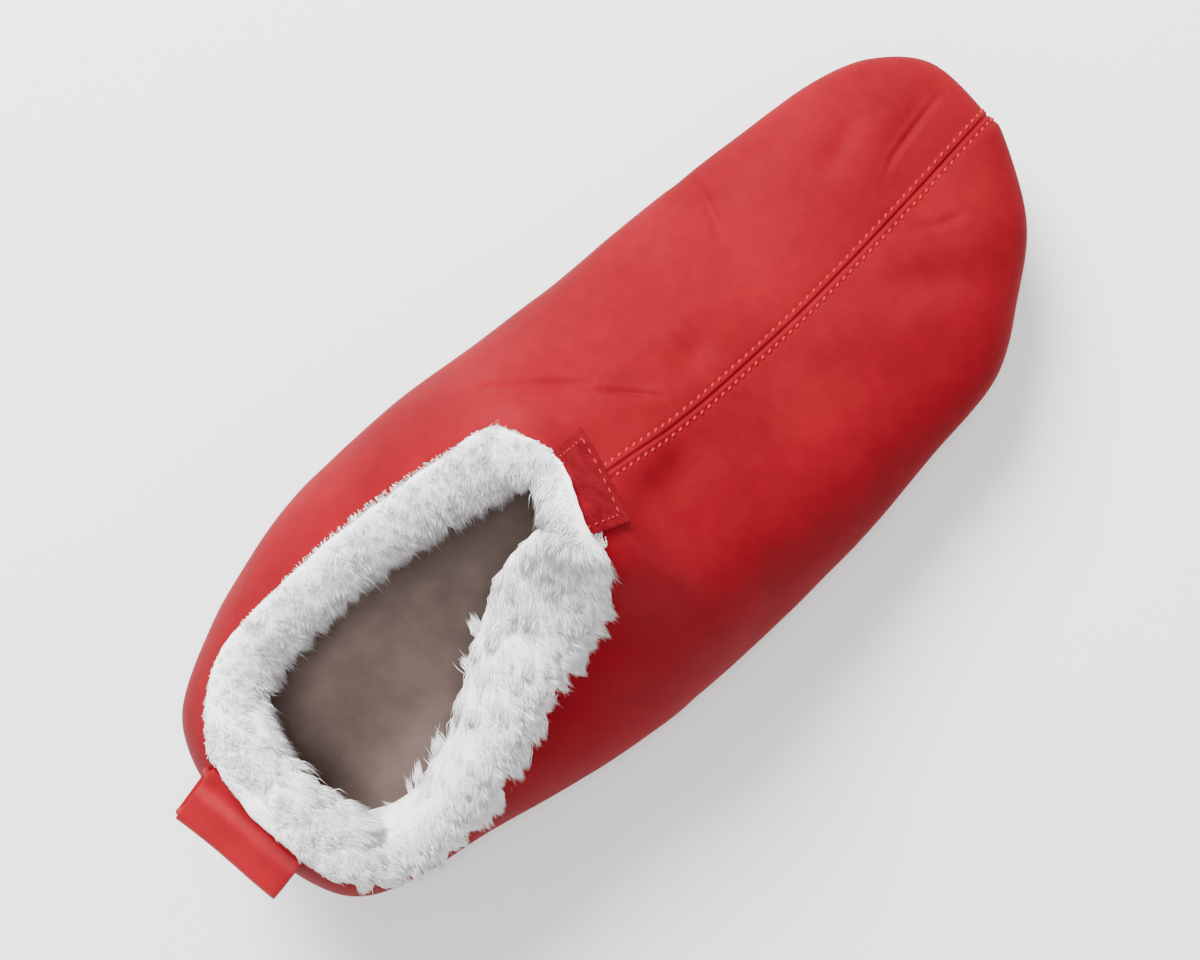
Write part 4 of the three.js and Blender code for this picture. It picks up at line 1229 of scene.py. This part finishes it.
def strip_profile(steps):
    """The strip's outside: along the lower layer, round the fold and back along the top."""
    flat = np.linspace(LOOP_REACH + LOOP_ROOT, radius, 14)
    fold = np.linspace(-np.pi / 2, np.pi / 2, steps)[1:-1]
    y = np.concatenate([flat, radius - radius * np.cos(fold) * 1.15, flat[::-1]])
    z = np.concatenate([np.full(14, -radius), radius * np.sin(fold), np.full(14, radius)])
    sag = 0.28 * np.sin(np.clip((y - radius) / LOOP_REACH, 0, 1) * np.pi)
    dip = np.where(z > 0, LOOP_DIP * smoothstep(y, LOOP_REACH - 2.5, LOOP_REACH + 1.5), 0)
    flattened = 1 - 0.12 * np.sin(np.clip(y / LOOP_REACH, 0, 1) * np.pi)
    return y, z * flattened - sag - dip


loop_y, loop_z = strip_profile(13)
slope = Matrix.Rotation(LOOP_SKEW, 4, "Z") @ Matrix.Rotation(math.atan(LOOP_DROOP), 4, "X")
fold_at = np.array([
    LOOP_CENTRE, MOUTH_BACK - LOOP_REACH - LOOP_WALL * 3, collar_height - LOOP_DROP])


def strip_spot(u, v):
    """A place of the strip, turned and moved to the heel. Its lower layer is a little wider."""
    j = np.rint(v * (len(loop_y) - 1)).astype(int)
    x = (u - 0.5) * LOOP_WIDTH - (loop_z[j] < 0) * 1.4 * smoothstep(0.25 - u, 0, 0.25)
    local = np.stack([x, loop_y[j] + 0.35 * np.sin(u * 5.0), loop_z[j]], -1)
    return local @ np.array(slope.to_3x3()).T + fold_at


loop_mesh = gridded(LOOP_ACROSS, len(loop_y) - 1, strip_spot)
centre = sum((v.co for v in loop_mesh.verts), Vector()) / len(loop_mesh.verts)
if sum((f.calc_center_median() - centre).dot(f.normal) for f in loop_mesh.faces) < 0:
    bmesh.ops.reverse_faces(loop_mesh, faces=loop_mesh.faces)
# its ends stop at the leather
limit_y = (MOUTH_BACK - float(spill[0]) - 2 * CLEARANCE) * MM
for v in loop_mesh.verts:
    hit = upper_tree.ray_cast(Vector((v.co.x, -0.25, v.co.z)), Vector((0, 1, 0)))[0]
    v.co.y = min(v.co.y, limit_y, hit.y - CLEARANCE * MM if hit else limit_y)
loop = finished(loop_mesh, "heel_loop_leather", loop_leather, ["heel_loop"])
walled(loop, LOOP_WALL, ROUNDED)

# %% [markdown]
# ## Floor, light and camera
# A pale sheet of paper and one large soft light from the upper left give the even studio look.
# The camera keeps the place from which the slipper was seen, high above the mouth, and is turned
# so that the toe points to the upper right.

# %% Floor
paper = new_material(
    "studio_paper", Base_Color=linear("#FAFAF9"), Roughness=0.9, Specular_IOR_Level=0.1)[0]
floor_mesh = bmesh.new()
bmesh.ops.create_grid(floor_mesh, x_segments=1, y_segments=1, size=3.0)
floor_piece = set_down(floor_mesh, "floor", paper)
floor_piece.location.z = -0.0004
floor_piece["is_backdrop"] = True


# %% Lights
def soft_light(name, place, target, size, watts):
    data = bpy.data.lights.new(name, "AREA")
    data.shape, data.size, data.energy = "DISK", size, watts
    light = bpy.data.objects.new(name, data)
    light.location = place
    light.rotation_euler = (Vector(target) - Vector(place)).to_track_quat("-Z", "Y").to_euler()
    bpy.context.scene.collection.objects.link(light)


soft_light("softbox", (-0.95, 0.32, 1.02), (0, 0, 0.03), 0.8, 62)
soft_light("overhead", (0.04, 0.06, 1.5), (0, -0.03, 0.03), 0.4, 13)
world = bpy.data.worlds.new("studio")
bpy.context.scene.world = world
world.use_nodes = True
backdrop = world.node_tree.nodes["Background"]
backdrop.inputs["Color"].default_value = linear("#FFFFFF")
backdrop.inputs["Strength"].default_value = 0.78

# %% Camera
CAMERA_AT = Vector((0.026, 0.018, 0.630))
PICTURE_RIGHT = Vector((0.695, 0.719, 0.0)).normalized()
LENS, SENSOR = 67.5, 36.0
SHIFT = (-0.1167, 0.01)  # the slipper lies left of the point under the camera
camera_data = bpy.data.cameras.new("camera")
camera_data.lens, camera_data.sensor_width = LENS, SENSOR
camera_data.shift_x, camera_data.shift_y = SHIFT
camera_data.clip_start, camera_data.clip_end = 0.01, 20
camera = bpy.data.objects.new("camera", camera_data)
bpy.context.scene.collection.objects.link(camera)
up = Vector((0, 0, 1)).cross(PICTURE_RIGHT)
turned = Matrix([[PICTURE_RIGHT[k], up[k], (0, 0, 1)[k]] for k in range(3)])
camera.matrix_world = Matrix.Translation(CAMERA_AT) @ turned.to_4x4()
bpy.context.scene.camera = camera

# %% Size of what is shown, next to the frame's
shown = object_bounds()
for name, (low, high) in (("frame", cad_box), ("slipper", shown)):
    print(name, "box in mm:", [round(float(c) / MM, 1) for c in (*low, *high)])
